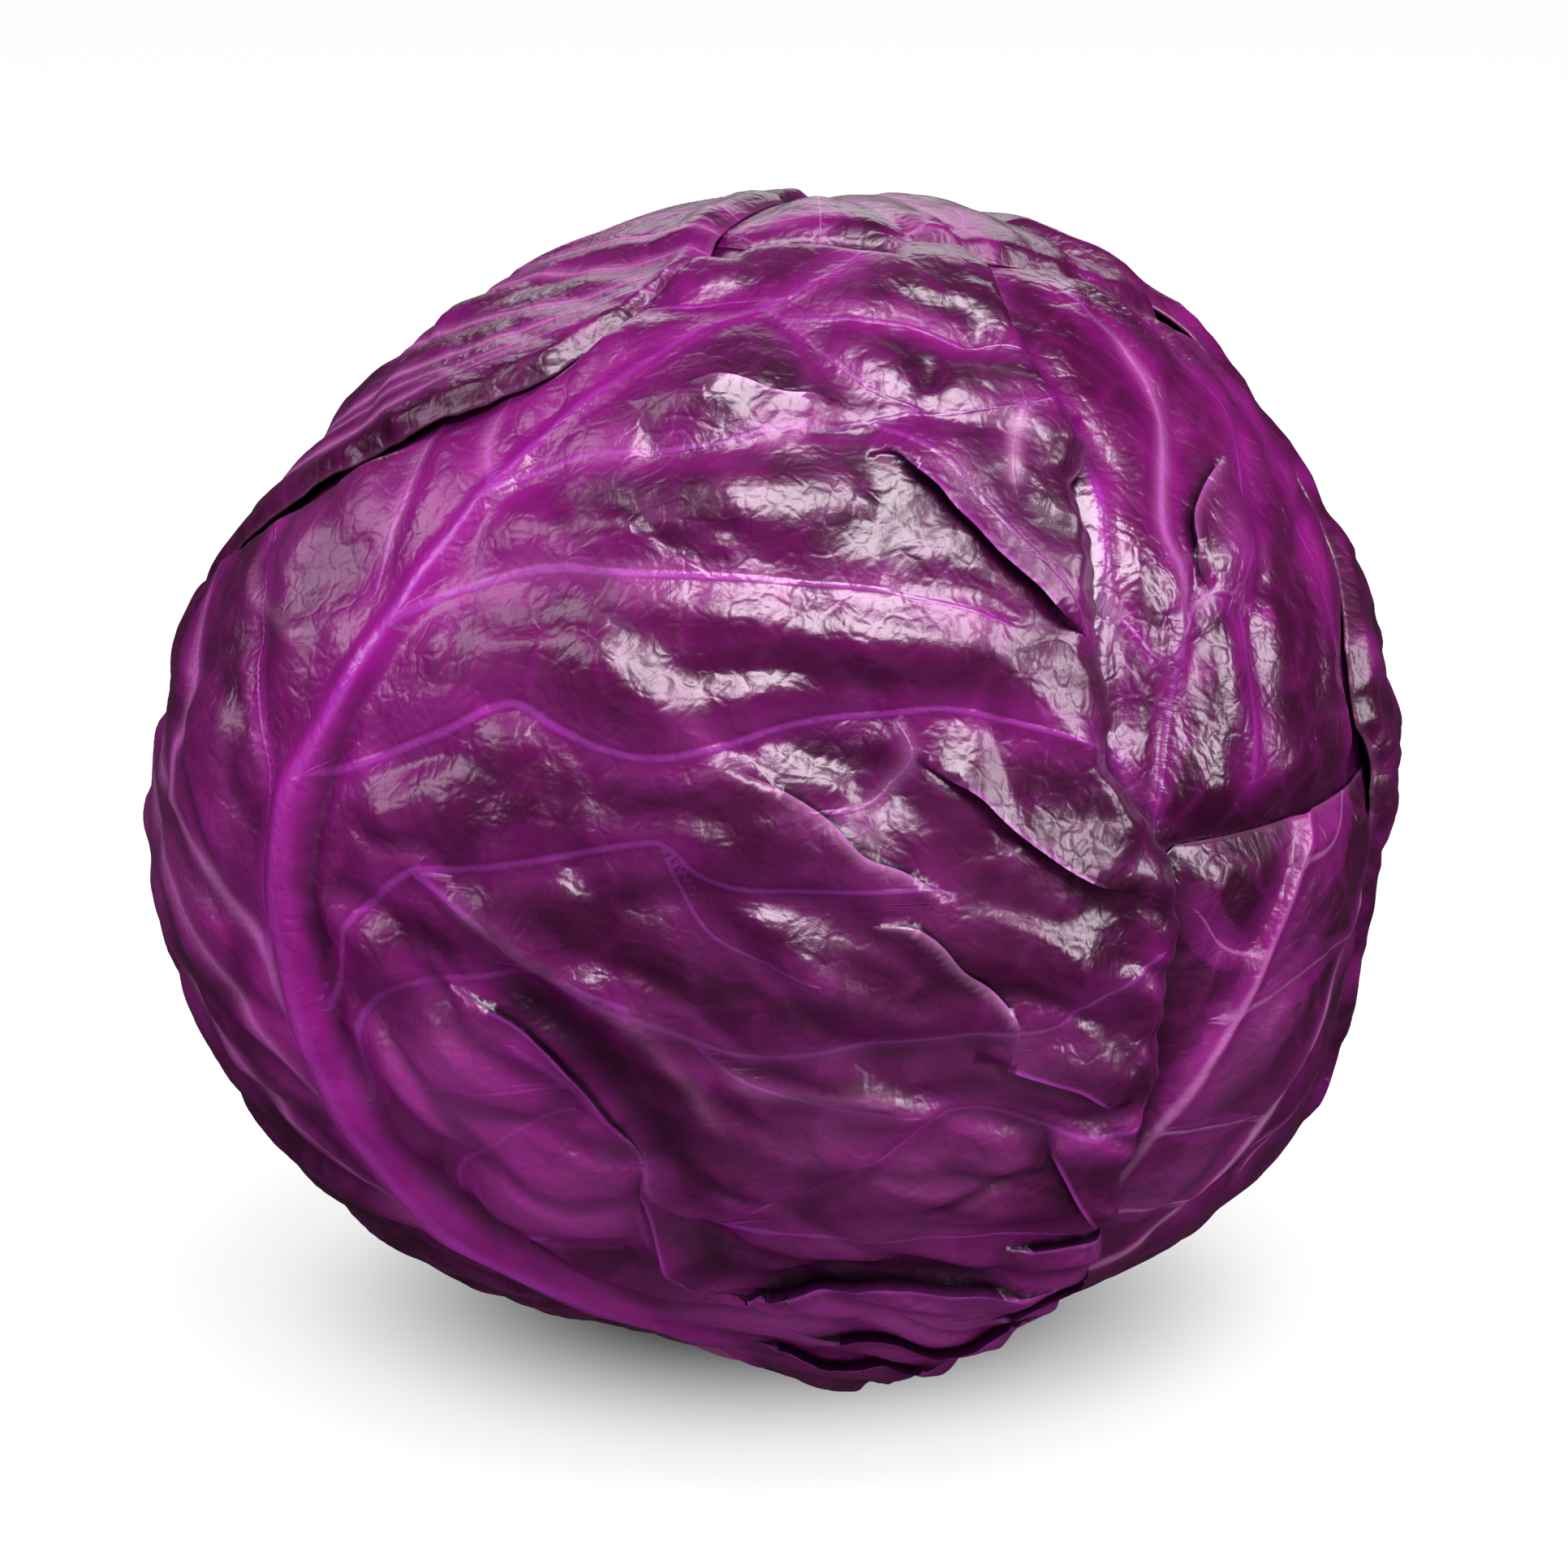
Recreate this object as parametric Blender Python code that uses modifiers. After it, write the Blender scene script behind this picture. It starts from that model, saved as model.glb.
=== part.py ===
"""Red cabbage head, cut at the stem and standing on it. Metres, +Z up, front towards -Y.

Broad outer leaves wrap a packed inner head. Each leaf is described on a chart of its own:
x and y are degrees to the right and upwards from the leaf's centre direction, seen from
outside, and measured at the middle of the head. A leaf runs from a base row near the stem
to a tip row, and every row spans from the left margin to the right margin, with the midrib
in between. The leaves are listed from the inside out: each one lies over all before it.
"""

from dataclasses import dataclass

import bmesh
import bpy
import numpy as np

# Head
HEAD_CENTRE = np.array([0.0, 0.0, 0.084])  # middle of the head above the table
HEAD_RADIUS = 0.0836  # packed inner head, before the lobes below
HEAD_FLOOR = 0.0052  # flat underside of the inner head, above the stem
# Lobes that push the round head in or out: azimuth, elevation, share of the radius, spread
HEAD_LOBES = [
    (-101, 58, -0.100, 24),
    (92, 26, 0.008, 20),
    (98, 58, -0.022, 14),
    (-48, -50, -0.036, 18),
    (-16, -58, -0.056, 10),
    (-48, -52, 0.026, 9),
    (45, -52, -0.062, 12),
    (15, -63, 0.046, 10),
    (65, -36, 0.024, 16),
    (78, -10, -0.040, 10),
    (-80, -6, 0.026, 20),
    (0, -90, -0.042, 26),
    (10, 82, -0.040, 24),
    (165, 5, -0.030, 32),
]

# Cut stem
STEM_RADIUS = 0.017
STEM_TOP = 0.0049
STEM_BEVEL = 0.0008
STEM_SIDES = 40

# Leaves
LAMINA = 0.0009  # thickness of the blade
GAP = 0.00065  # free space to the leaf beneath
MARGIN = 6.0  # degrees that a leaf stays lifted past the margin of one beneath it
RAMP = 22.0  # degrees over which it then comes down

LEAF_PURPLE = (0.17, 0.018, 0.115, 1.0)
DEEP_PURPLE = (0.12, 0.012, 0.085, 1.0)
STEM_LILAC = (0.55, 0.42, 0.50, 1.0)


@dataclass(frozen=True)
class Leaf:
    """One wrapped leaf: chart centre, margins and midrib as (y, x) rows, and its rib."""

    name: str
    azimuth: float
    elevation: float
    left: tuple
    right: tuple
    midrib: tuple
    rib_height: tuple  # (y, height in metres) from base to tip
    rib_width: float  # half width in degrees
    colour: tuple = LEAF_PURPLE
    cell: float = 7.0  # step of the leaf's grid in degrees


LEAVES = [
    Leaf(
        "crown_leaf", 25, 72,
        left=((-46, -12), (-32, -30), (0, -42), (30, -34), (44, -12)),
        right=((-46, 12), (-32, 30), (0, 42), (30, 34), (44, 12)),
        midrib=((-46, 0), (44, 0)),
        rib_height=((-46, 0.0), (44, 0.0)), rib_width=4.0, colour=DEEP_PURPLE,
    ),
    Leaf(
        "right_upper_leaf", 55, 25,
        left=((-98, -9), (-75, -26), (-40, -52), (0, -60), (35, -52), (52, -38), (62, -16)),
        right=((-98, 9), (-75, 24), (-40, 46), (0, 56), (35, 50), (52, 36), (62, 16)),
        midrib=((-98, 0), (-40, -8), (-15, -17), (10, -17), (40, -12), (62, -4)),
        rib_height=((-98, 0.0), (-16, 0.0), (-2, 0.0009), (12, 0.0006), (28, 0.0), (62, 0.0)),
        rib_width=3.5,
    ),
    Leaf(
        "right_lower_leaf", 70, -15,
        left=((-60, -14), (-45, -30), (-20, -44), (0, -48), (16, -42), (22, -33)),
        right=((-60, 12), (-45, 27), (-20, 40), (0, 44), (14, 40), (25, 26)),
        midrib=((-60, -2), (-35, -22), (-15, -26), (5, -20), (25, -8)),
        rib_height=((-60, 0.0), (-24, 0.0), (-8, 0.0012), (5, 0.0011), (25, 0.0003)),
        rib_width=4.0, cell=5.0,
    ),
    Leaf(
        "front_leaf", -38, 5,
        left=((-80, -14), (-64, -40), (-40, -62), (0, -76), (35, -68), (62, -46), (82, -4)),
        right=(
            (-80, 20), (-73, 33), (-57, 50), (-47, 64), (-36, 70), (-15, 72), (0, 73),
            (12, 67), (26, 62), (40, 56), (54, 51), (65, 46), (75, 39), (82, 26),
        ),
        midrib=(
            (-80, 6), (-56, 19), (-44, 16), (-37, 5), (-24, -3), (-10, -8), (2, -10),
            (14, -5), (28, 1), (42, 7), (55, 16), (64, 23), (82, 24),
        ),
        rib_height=(
            (-80, 0.0008), (-60, 0.0030), (-40, 0.0036), (-10, 0.0024), (20, 0.0013),
            (50, 0.0006), (82, 0.0),
        ),
        rib_width=4.2,
    ),
    Leaf(
        "back_leaf", 180, 15,
        left=((-90, -12), (-70, -30), (-40, -48), (0, -56), (40, -52), (70, -42), (97, -14)),
        right=((-90, 12), (-70, 30), (-40, 50), (0, 60), (40, 54), (70, 36), (97, 4)),
        midrib=((-90, 0), (-50, 2), (0, 0), (50, -3), (97, -6)),
        rib_height=((-90, 0.0010), (-65, 0.0030), (-20, 0.0018), (40, 0.0006), (97, 0.0)),
        rib_width=4.2,
    ),
    Leaf(
        "back_right_leaf", 120, 5,
        left=(
            (-80, -12), (-66, -25), (-46, -37), (-26, -45), (-6, -50), (6, -51), (16, -48),
            (28, -32), (45, -16), (60, 0),
        ),
        right=((-80, 12), (-66, 22), (-46, 31), (-20, 38), (10, 40), (38, 36), (60, 20)),
        midrib=((-80, 0), (-50, 3), (-10, 0), (25, 4), (60, 10)),
        rib_height=((-80, 0.0010), (-58, 0.0028), (-10, 0.0015), (30, 0.0006), (60, 0.0)),
        rib_width=4.2,
        colour=DEEP_PURPLE,
    ),
    Leaf(
        "left_back_leaf", -125, 15,
        left=((-90, -12), (-70, -25), (-40, -32), (0, -37), (40, -38), (66, -28), (86, 0)),
        right=(
            (-90, 12), (-70, 22), (-45, 30), (-20, 34), (0, 33), (14, 33), (29, 42),
            (40, 48), (52, 50), (64, 49), (76, 43), (86, 27),
        ),
        midrib=((-90, 0), (-50, -4), (-10, -4), (30, 2), (60, 10), (86, 14)),
        rib_height=((-90, 0.0010), (-66, 0.0030), (-20, 0.0018), (40, 0.0006), (86, 0.0)),
        rib_width=4.2,
    ),
]


def direction(azimuth, elevation):
    """Unit vector: azimuth 0 is the front (-Y) and 90 the right (+X); elevation is up."""
    a, e = np.radians(azimuth), np.radians(elevation)
    return np.array([np.sin(a) * np.cos(e), -np.cos(a) * np.cos(e), np.sin(e)])


def chart_axes(leaf):
    """Centre, right and up directions of a leaf's chart."""
    a, e = np.radians(leaf.azimuth), np.radians(leaf.elevation)
    right = np.array([np.cos(a), np.sin(a), 0.0])
    up = np.array([-np.sin(a) * np.sin(e), np.cos(a) * np.sin(e), np.cos(e)])
    return direction(leaf.azimuth, leaf.elevation), right, up


def from_chart(leaf, x, y):
    """Directions from the head's middle for chart angles x and y in degrees."""
    centre, right, up = chart_axes(leaf)
    turn = np.radians(np.hypot(x, y))
    reach = np.sinc(turn / np.pi) * np.pi / 180.0
    return (
        np.cos(turn)[:, None] * centre
        + (reach * x)[:, None] * right
        + (reach * y)[:, None] * up
    )


def to_chart(leaf, d):
    """Chart angles x and y in degrees of unit directions d."""
    centre, right, up = chart_axes(leaf)
    x, y = d @ right, d @ up
    turn = np.degrees(np.arccos(np.clip(d @ centre, -1, 1)))
    scale = turn / np.maximum(np.hypot(x, y), 1e-9)
    return x * scale, y * scale


def through(points, at):
    """Smooth curve through (place, value) points, read at the given places."""
    place, value = np.array(points, float).T
    slope = np.gradient(value, place)
    i = np.clip(np.searchsorted(place, at) - 1, 0, len(place) - 2)
    step = place[i + 1] - place[i]
    t = np.clip((at - place[i]) / step, 0, 1)
    rise = value[i + 1] - value[i]
    return (
        value[i]
        + rise * (3 * t**2 - 2 * t**3)
        + step * (slope[i] * t * (1 - t) ** 2 - slope[i + 1] * t**2 * (1 - t))
    )


def smoothstep(t):
    """Eased step from 0 to 1."""
    t = np.clip(t, 0, 1)
    return t * t * (3 - 2 * t)


def head_radius(d):
    """Radius of the packed inner head along unit directions d."""
    share = np.ones(len(d))
    for azimuth, elevation, amount, spread in HEAD_LOBES:
        away = np.degrees(np.arccos(np.clip(d @ direction(azimuth, elevation), -1, 1)))
        share += amount * np.exp(-0.5 * (away / spread) ** 2)
    return HEAD_RADIUS * share


def cover(leaf, d):
    """1 over a leaf and a little past its margins, falling to 0 away from it."""
    x, y = to_chart(leaf, d)
    base, tip = leaf.left[0][0], leaf.left[-1][0]
    past = np.maximum(through(leaf.left, y) - x, x - through(leaf.right, y))
    past = np.maximum(past, np.maximum(base - y, y - tip))
    return 1 - smoothstep((past - MARGIN) / RAMP)


def inner_radius(index, d):
    """Radius of a leaf's inner face: on the head, lifted over every leaf beneath."""
    lift = sum((cover(leaf, d) for leaf in LEAVES[:index]), np.zeros(len(d)))
    return head_radius(d) + GAP + lift * (LAMINA + GAP)


def material(name, colour, roughness):
    """Principled material of one plain colour."""
    made = bpy.data.materials.new(name)
    made.use_nodes = True
    shader = made.node_tree.nodes["Principled BSDF"]
    shader.inputs["Base Color"].default_value = colour
    shader.inputs["Roughness"].default_value = roughness
    shader.inputs["Metallic"].default_value = 0.0
    return made


def add_part(name, bm, collection, colour, roughness):
    """Object made from a bmesh, smooth shaded, with its own material."""
    mesh = bpy.data.meshes.new(name)
    bm.to_mesh(mesh)
    bm.free()
    mesh.shade_smooth()
    mesh.materials.append(material(name, colour, roughness))
    part = bpy.data.objects.new(name, mesh)
    collection.objects.link(part)
    return part


def make_inner_head(collection):
    """Packed inner leaves as one solid: a lobed ball with a flat underside."""
    bm = bmesh.new()
    bmesh.ops.create_icosphere(bm, subdivisions=4, radius=1.0)
    d = np.array([v.co.normalized() for v in bm.verts])
    places = HEAD_CENTRE + d * head_radius(d)[:, None]
    places[:, 2] = np.maximum(places[:, 2], HEAD_FLOOR)
    for vertex, place in zip(bm.verts, places):
        vertex.co = place
    return add_part("inner_head", bm, collection, DEEP_PURPLE, 0.4)


def make_stem(collection):
    """Short round stem with a flat cut end at the table."""
    bm = bmesh.new()
    bmesh.ops.create_cone(
        bm, cap_ends=True, segments=STEM_SIDES,
        radius1=STEM_RADIUS, radius2=STEM_RADIUS, depth=STEM_TOP,
    )
    bmesh.ops.translate(bm, verts=bm.verts, vec=(0, 0, STEM_TOP / 2))
    part = add_part("cut_stem", bm, collection, STEM_LILAC, 0.6)
    part.data.set_sharp_from_angle(angle=np.radians(40))
    bevel = part.modifiers.new("rounded rims", "BEVEL")
    bevel.width = STEM_BEVEL
    bevel.segments = 2
    return part


def make_leaf(index, collection):
    """Blade draped over what lies beneath, thickened outwards, thickest at the midrib."""
    leaf = LEAVES[index]
    base, tip = leaf.left[0][0], leaf.left[-1][0]
    widest = max(x for _, x in leaf.right) - min(x for _, x in leaf.left)
    bm = bmesh.new()
    columns = 2 * round(widest / leaf.cell / 2 + 1)
    rows = round((tip - base) / leaf.cell)
    bmesh.ops.create_grid(bm, x_segments=columns, y_segments=rows, size=1.0)
    across, along = np.array([v.co[:2] for v in bm.verts]).T
    y = base + (tip - base) * (along + 1) / 2
    middle = through(leaf.midrib, y)
    side = np.where(across < 0, middle - through(leaf.left, y), through(leaf.right, y) - middle)
    x = middle + side * across * (0.72 + 0.28 * np.abs(across))
    d = from_chart(leaf, x, y)
    places = HEAD_CENTRE + d * inner_radius(index, d)[:, None]
    for vertex, place in zip(bm.verts, places):
        vertex.co = place
    part = add_part(leaf.name, bm, collection, leaf.colour, 0.38)

    rib = through(leaf.rib_height, y) * np.exp(-(((x - middle) / leaf.rib_width) ** 2))
    thickness = LAMINA + np.maximum(rib, 0)
    group = part.vertex_groups.new(name="thickness")
    for i, share in enumerate(thickness / thickness.max()):
        group.add([i], float(share), "REPLACE")
    wall = part.modifiers.new("blade and rib", "SOLIDIFY")
    wall.thickness = float(thickness.max())
    wall.offset = 1.0
    wall.vertex_group = group.name
    wall.use_quality_normals = True
    return part


def main():
    """Clears the scene and builds the head."""
    for old in list(bpy.data.objects):
        bpy.data.objects.remove(old, do_unlink=True)
    collection = bpy.data.collections.new("red_cabbage_head")
    bpy.context.scene.collection.children.link(collection)
    make_inner_head(collection)
    make_stem(collection)
    for index in range(len(LEAVES)):
        make_leaf(index, collection)


main()
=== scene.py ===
"""Looks of a red cabbage head: wrapped leaves with ribs, veins, folds and torn margins.

Lengths are in metres unless a name says otherwise. A leaf is drawn on a chart of its own: x and y
are degrees to the right and upwards from the leaf's centre direction, seen from outside and
measured at the middle of the head. Heights of veins and folds are in millimetres.
"""

import logging
from dataclasses import dataclass, fields
from enum import Enum

import bpy
import numpy as np
from mathutils import Matrix


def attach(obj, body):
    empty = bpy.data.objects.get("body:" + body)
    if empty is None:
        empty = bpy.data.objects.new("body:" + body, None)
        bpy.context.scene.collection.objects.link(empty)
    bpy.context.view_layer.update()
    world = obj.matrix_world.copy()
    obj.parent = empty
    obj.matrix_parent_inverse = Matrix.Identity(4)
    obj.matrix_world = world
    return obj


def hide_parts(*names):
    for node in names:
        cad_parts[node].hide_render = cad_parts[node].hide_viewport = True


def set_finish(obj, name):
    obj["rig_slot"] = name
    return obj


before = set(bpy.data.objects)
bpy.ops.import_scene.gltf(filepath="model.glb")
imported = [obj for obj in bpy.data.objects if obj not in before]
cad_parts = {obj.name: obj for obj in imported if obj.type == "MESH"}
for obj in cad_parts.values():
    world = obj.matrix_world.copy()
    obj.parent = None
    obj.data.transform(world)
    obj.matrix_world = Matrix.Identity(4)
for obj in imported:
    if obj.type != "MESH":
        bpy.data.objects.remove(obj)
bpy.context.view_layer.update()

LOG = logging.getLogger("cabbage")
Array = np.ndarray
Path = tuple[tuple[float, float], ...]
Colour = tuple[float, float, float, float]
Socket = bpy.types.NodeSocket

MM = 0.001
CENTRE = np.array([0.0, 0.0, 0.084])  # middle of the head above the table
STEM_RADIUS = 0.017


# ---------------------------------------------------------------- shape helpers


def smoothstep(t: Array) -> Array:
    """Eased step from 0 to 1: three squares less two cubes."""
    t = np.clip(t, 0.0, 1.0)
    return t * t * (3.0 - 2.0 * t)


def through(points: Path, at: Array) -> Array:
    """Smooth curve through (place, value) points: a cubic between each two of them.

    Args:
        points: places in rising order, each with its value.
        at: places to read.

    Returns:
        The curve's values there.
    """
    place, value = np.array(points, float).T
    slope = np.gradient(value, place)
    i = np.clip(np.searchsorted(place, at) - 1, 0, len(place) - 2)
    step = place[i + 1] - place[i]
    t = np.clip((at - place[i]) / step, 0, 1)
    rise = value[i + 1] - value[i]
    bend = slope[i] * t * (1 - t) ** 2 - slope[i + 1] * t**2 * (1 - t)
    return value[i] + rise * (3 * t**2 - 2 * t**3) + step * bend


def waves(d: Array, size: float, seed: int, count: int = 14) -> Array:
    """Smooth random swell on the head: a sum of sines along random directions, about -1 to 1.

    Args:
        d: unit directions from the middle of the head.
        size: width of one swell in degrees.
        seed: which swell.
        count: number of sines.

    Returns:
        One value for each direction.
    """
    random = np.random.default_rng(seed)
    ways = random.normal(size=(count, 3))
    ways *= (180.0 / size / np.linalg.norm(ways, axis=1) * random.uniform(0.6, 1.2, count))[:, None]
    return np.sin(d @ ways.T + random.uniform(0, 2 * np.pi, count)).sum(axis=1) / np.sqrt(count)


CREST_ROUNDING = 0.02  # keeps the crests of folds from being sharp
PILLOW_CELLS = 64  # cells after which the random centres of pillows repeat
CREASE_SHARE = 0.55  # share of a panel over which a pillow climbs out of its crease


def folds(u: Array, v: Array, long: float, short: float, seed: int, count: int = 12) -> Array:
    """Long meandering crests: 1 less the size of a sum of sines that run mostly across them.

    Args:
        u: degrees along the grain.
        v: degrees across it.
        long: length of a crest in degrees.
        short: distance between crests.
        seed: which crests.
        count: number of sines.

    Returns:
        1 on a crest, falling to 0 or a little less between them.
    """
    random = np.random.default_rng(seed)
    along = random.normal(size=count) * np.pi / long
    cross = random.uniform(0.5, 1.3, count) * np.pi / short
    phase = random.uniform(0, 2 * np.pi, count)
    total = np.sin(np.outer(u, along) + np.outer(v, cross) + phase).sum(axis=1)
    return 1 - np.sqrt(total**2 / count + CREST_ROUNDING)


def pillows(u: Array, v: Array, long: float, short: float, seed: int) -> Array:
    """Irregular quilted panels: how much farther the second nearest centre is than the nearest.

    Centres lie one in each cell of a grid of long by short cells, at a random place in it.

    Args:
        u: degrees along the grain.
        v: degrees across it.
        long: length of a panel in degrees.
        short: its width.
        seed: which panels.

    Returns:
        0 on the creases between panels, rising to 1 within them.
    """
    centres = np.random.default_rng(seed).uniform(0.1, 0.9, (PILLOW_CELLS, PILLOW_CELLS, 2))
    place = np.stack([u / long, v / short], axis=1)
    cell = np.floor(place).astype(int)
    gaps = []
    for step in ((i, j) for i in (-1, 0, 1) for j in (-1, 0, 1)):
        at = cell + step
        centre = centres[at[:, 0] % PILLOW_CELLS, at[:, 1] % PILLOW_CELLS]
        gaps.append(np.linalg.norm(at + centre - place, axis=1))
    gaps = np.sort(gaps, axis=0)
    return smoothstep((gaps[1] - gaps[0]) / CREASE_SHARE)


def direction(azimuth: float, elevation: float) -> Array:
    """Unit vector: azimuth 0 is the front (-Y) and 90 the right (+X); elevation is up."""
    a, e = np.radians(azimuth), np.radians(elevation)
    return np.array([np.sin(a) * np.cos(e), -np.cos(a) * np.cos(e), np.sin(e)])


@dataclass(frozen=True)
class Chart:
    """Flat map of the head round one direction; distances from its middle are true."""

    azimuth: float
    elevation: float

    def axes(self) -> tuple[Array, Array, Array]:
        """Directions that the chart is laid out by.

        Returns:
            The centre, right and up directions, square to each other.
        """
        a, e = np.radians(self.azimuth), np.radians(self.elevation)
        right = np.array([np.cos(a), np.sin(a), 0.0])
        up = np.array([-np.sin(a) * np.sin(e), np.cos(a) * np.sin(e), np.cos(e)])
        return direction(self.azimuth, self.elevation), right, up

    def point(self, x: Array, y: Array) -> Array:
        """Turns the centre direction by each place's distance from the middle, towards that place.

        Args:
            x: chart places to the right, in degrees.
            y: chart places upwards.

        Returns:
            One unit direction for each place.
        """
        centre, right, up = self.axes()
        turn = np.radians(np.hypot(x, y))
        reach = np.sinc(turn / np.pi) * np.pi / 180.0
        return np.cos(turn)[:, None] * centre + (reach * x)[:, None] * right + (reach * y)[:, None] * up

    def place(self, d: Array) -> tuple[Array, Array]:
        """Lays unit directions down on the chart: their angle from the centre is the distance.

        Args:
            d: unit directions.

        Returns:
            Chart places to the right and upwards, in degrees.
        """
        centre, right, up = self.axes()
        x, y = d @ right, d @ up
        turn = np.degrees(np.arccos(np.clip(d @ centre, -1, 1)))
        scale = turn / np.maximum(np.hypot(x, y), 1e-9)
        return x * scale, y * scale


@dataclass(frozen=True)
class Packing:
    """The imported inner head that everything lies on: a ball with broad lobes."""

    radius: float = 0.0836
    floor: float = 0.0052
    # azimuth, elevation, share of the radius, spread in degrees
    lobes: tuple[tuple[float, float, float, float], ...] = (
        (-101, 58, -0.100, 24), (92, 26, 0.008, 20), (98, 58, -0.022, 14), (-48, -50, -0.040, 18),
        (-16, -58, -0.075, 10), (45, -52, -0.062, 12), (15, -63, 0.046, 10),
        (65, -36, 0.024, 16), (78, -10, -0.040, 10), (-80, -6, 0.026, 20), (0, -90, -0.042, 26),
        (10, 82, -0.022, 24), (165, 5, -0.030, 32),
    )

    def reach(self, d: Array) -> Array:
        """Radius of the packing: the ball's, times one plus a bell for each lobe.

        Args:
            d: unit directions.

        Returns:
            One radius for each direction.
        """
        share = np.ones(len(d))
        for azimuth, elevation, amount, spread in self.lobes:
            away = np.degrees(np.arccos(np.clip(d @ direction(azimuth, elevation), -1, 1)))
            share += amount * np.exp(-0.5 * (away / spread) ** 2)
        return self.radius * share


PACKING = Packing()


# ---------------------------------------------------------------- what is drawn on a leaf


class Kind(Enum):
    """What a drawn line does to the blade."""

    VEIN = "raised cord in a valley"
    RIDGE = "crest with soft flanks"
    GROOVE = "pressed-in line"
    LIP = "blade folded over itself, standing high on the left of the path"


@dataclass(frozen=True)
class Mark:
    """A line drawn on a leaf: height in millimetres, half width in degrees, path on the chart."""

    kind: Kind
    height: float
    width: float
    path: Path
    valley: float = 0.9  # share of the blade's swell that is held down at the line
    pale: float = 0.0  # how whitish the line is: a vein's own paler colour, and a painted highlight on a lip's edge or a ridge's crest
    deep: float = 0.0  # painted shade along the line: how dark its crease or slit is painted
    thin: float = 0.65  # share of the width that is gone at the far end
    tilt: float = 0.3  # how much higher the left side of a vein lies, in millimetres

    def line(self) -> Array:
        """Smooth curve through the path: x and y are each a curve of the length run so far.

        Returns:
            The path's points with three more between each two.
        """
        points = np.array(self.path, float)
        run = np.concatenate([[0], np.cumsum(np.hypot(*np.diff(points, axis=0).T))])
        steps = np.linspace(0, 1, 5)[:-1]
        at = np.append((run[:-1, None] + np.diff(run)[:, None] * steps).ravel(), run[-1])
        pairs = [tuple(zip(run, points[:, k])) for k in (0, 1)]
        return np.stack([through(pair, at) for pair in pairs], axis=1)

    def measure(self, x: Array, y: Array) -> tuple[Array, Array, Array, Array]:
        """Where chart places lie against the line.

        Args:
            x: chart places to the right.
            y: chart places upwards.

        Returns:
            Distance from the line (positive on its left), share of the way along it, and the
            two parts of the unit direction towards its left.
        """
        line = self.line()
        start, step = line[:-1], np.diff(line, axis=0)
        long = np.maximum(np.hypot(*step.T), 1e-6)
        run = np.concatenate([[0], np.cumsum(long)])
        px, py = x[:, None] - start[:, 0], y[:, None] - start[:, 1]
        t = np.clip((px * step[:, 0] + py * step[:, 1]) / long**2, 0, 1)
        qx, qy = px - t * step[:, 0], py - t * step[:, 1]
        best = np.argmin(qx**2 + qy**2, axis=1)
        row = np.arange(len(x))
        qx, qy, t = qx[row, best], qy[row, best], t[row, best]
        left = np.stack([-step[:, 1], step[:, 0]], axis=1)[best] / long[best, None]
        side = np.where(qx * left[:, 0] + qy * left[:, 1] < 0, -1.0, 1.0)
        share = (run[best] + t * long[best]) / run[-1]
        return side * np.hypot(qx, qy), share, left[:, 0], left[:, 1]


@dataclass(frozen=True)
class Spot:
    """A soft oval bulge or dent: place, half sizes and turn in degrees, height in millimetres."""

    x: float
    y: float
    long: float
    wide: float
    turn: float = 0.0
    height: float = 0.0
    # the oval's painted shade, its whitish bloom with painted sheen, and its lighter tone
    deep: float = 0.0
    bloom_and_sheen: float = 0.0
    bright: float = 0.0

    def weigh(self, x: Array, y: Array) -> Array:
        """Bell over the turned oval: e to the less squares of the two distances in half sizes.

        Args:
            x: chart places to the right.
            y: chart places upwards.

        Returns:
            1 in the middle of the oval, falling to 0 outside it.
        """
        c, s = np.cos(np.radians(self.turn)), np.sin(np.radians(self.turn))
        u = (x - self.x) * c + (y - self.y) * s
        v = (y - self.y) * c - (x - self.x) * s
        return np.exp(-((u / self.long) ** 2) - (v / self.wide) ** 2)


FAR = 9.0  # line value where no vein is near
EDGE = 0.01  # degrees within which a place counts as lying on a lip's edge
SNAP_REACH = 1.5  # degrees from a lip's edge within which a place may move onto it
MARK_REACH = 12.0  # degrees from a drawn line beyond which it changes nothing
NARROWEST = 0.8  # least half width in degrees that the grid can carry
VEIN_LENGTH = 60.0  # what every vein's length counts as in the strokes across it
LEFT_CLIMB = 35.0  # least climb of the folds on the left of a midrib, in degrees
OTHER_SIDE = 97.0  # degrees by which the folds' pattern is moved on the left of a midrib


@dataclass
class Form:
    """What the marks and spots add up to at each place of a leaf."""

    lift: Array  # millimetres above the plain blade
    shift_x: Array  # degrees to the right
    shift_y: Array  # degrees upwards
    line: Array  # distance from the nearest vein in its half widths, negative on its right
    near: Array  # 1 at that vein, falling to 0 a few half widths away
    across: Array  # degrees from that vein
    along: Array  # degrees along it
    crease: Array  # degrees from the nearest lip's edge, negative on its low side
    pale: Array  # how whitish the skin is painted, with painted highlights on lip edges and ridge crests; then its painted shade, its whitish bloom with painted sheen, and its lighter tone
    deep: Array
    bloom_and_sheen: Array
    bright: Array
    nearest: Array  # distance from the nearest vein in its half widths
    held: Array  # share of the blade's swell that the veins leave

    @classmethod
    def blank(cls, count: int) -> "Form":
        """A blade with nothing drawn on it: no height or paint, and every line far away.

        Args:
            count: number of places.

        Returns:
            The form that marks and spots are added to.
        """
        start = {"line": FAR, "across": FAR, "crease": FAR, "nearest": 1e3, "held": 1.0}
        return cls(**{part.name: np.full(count, start.get(part.name, 0.0)) for part in fields(cls)})


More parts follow.
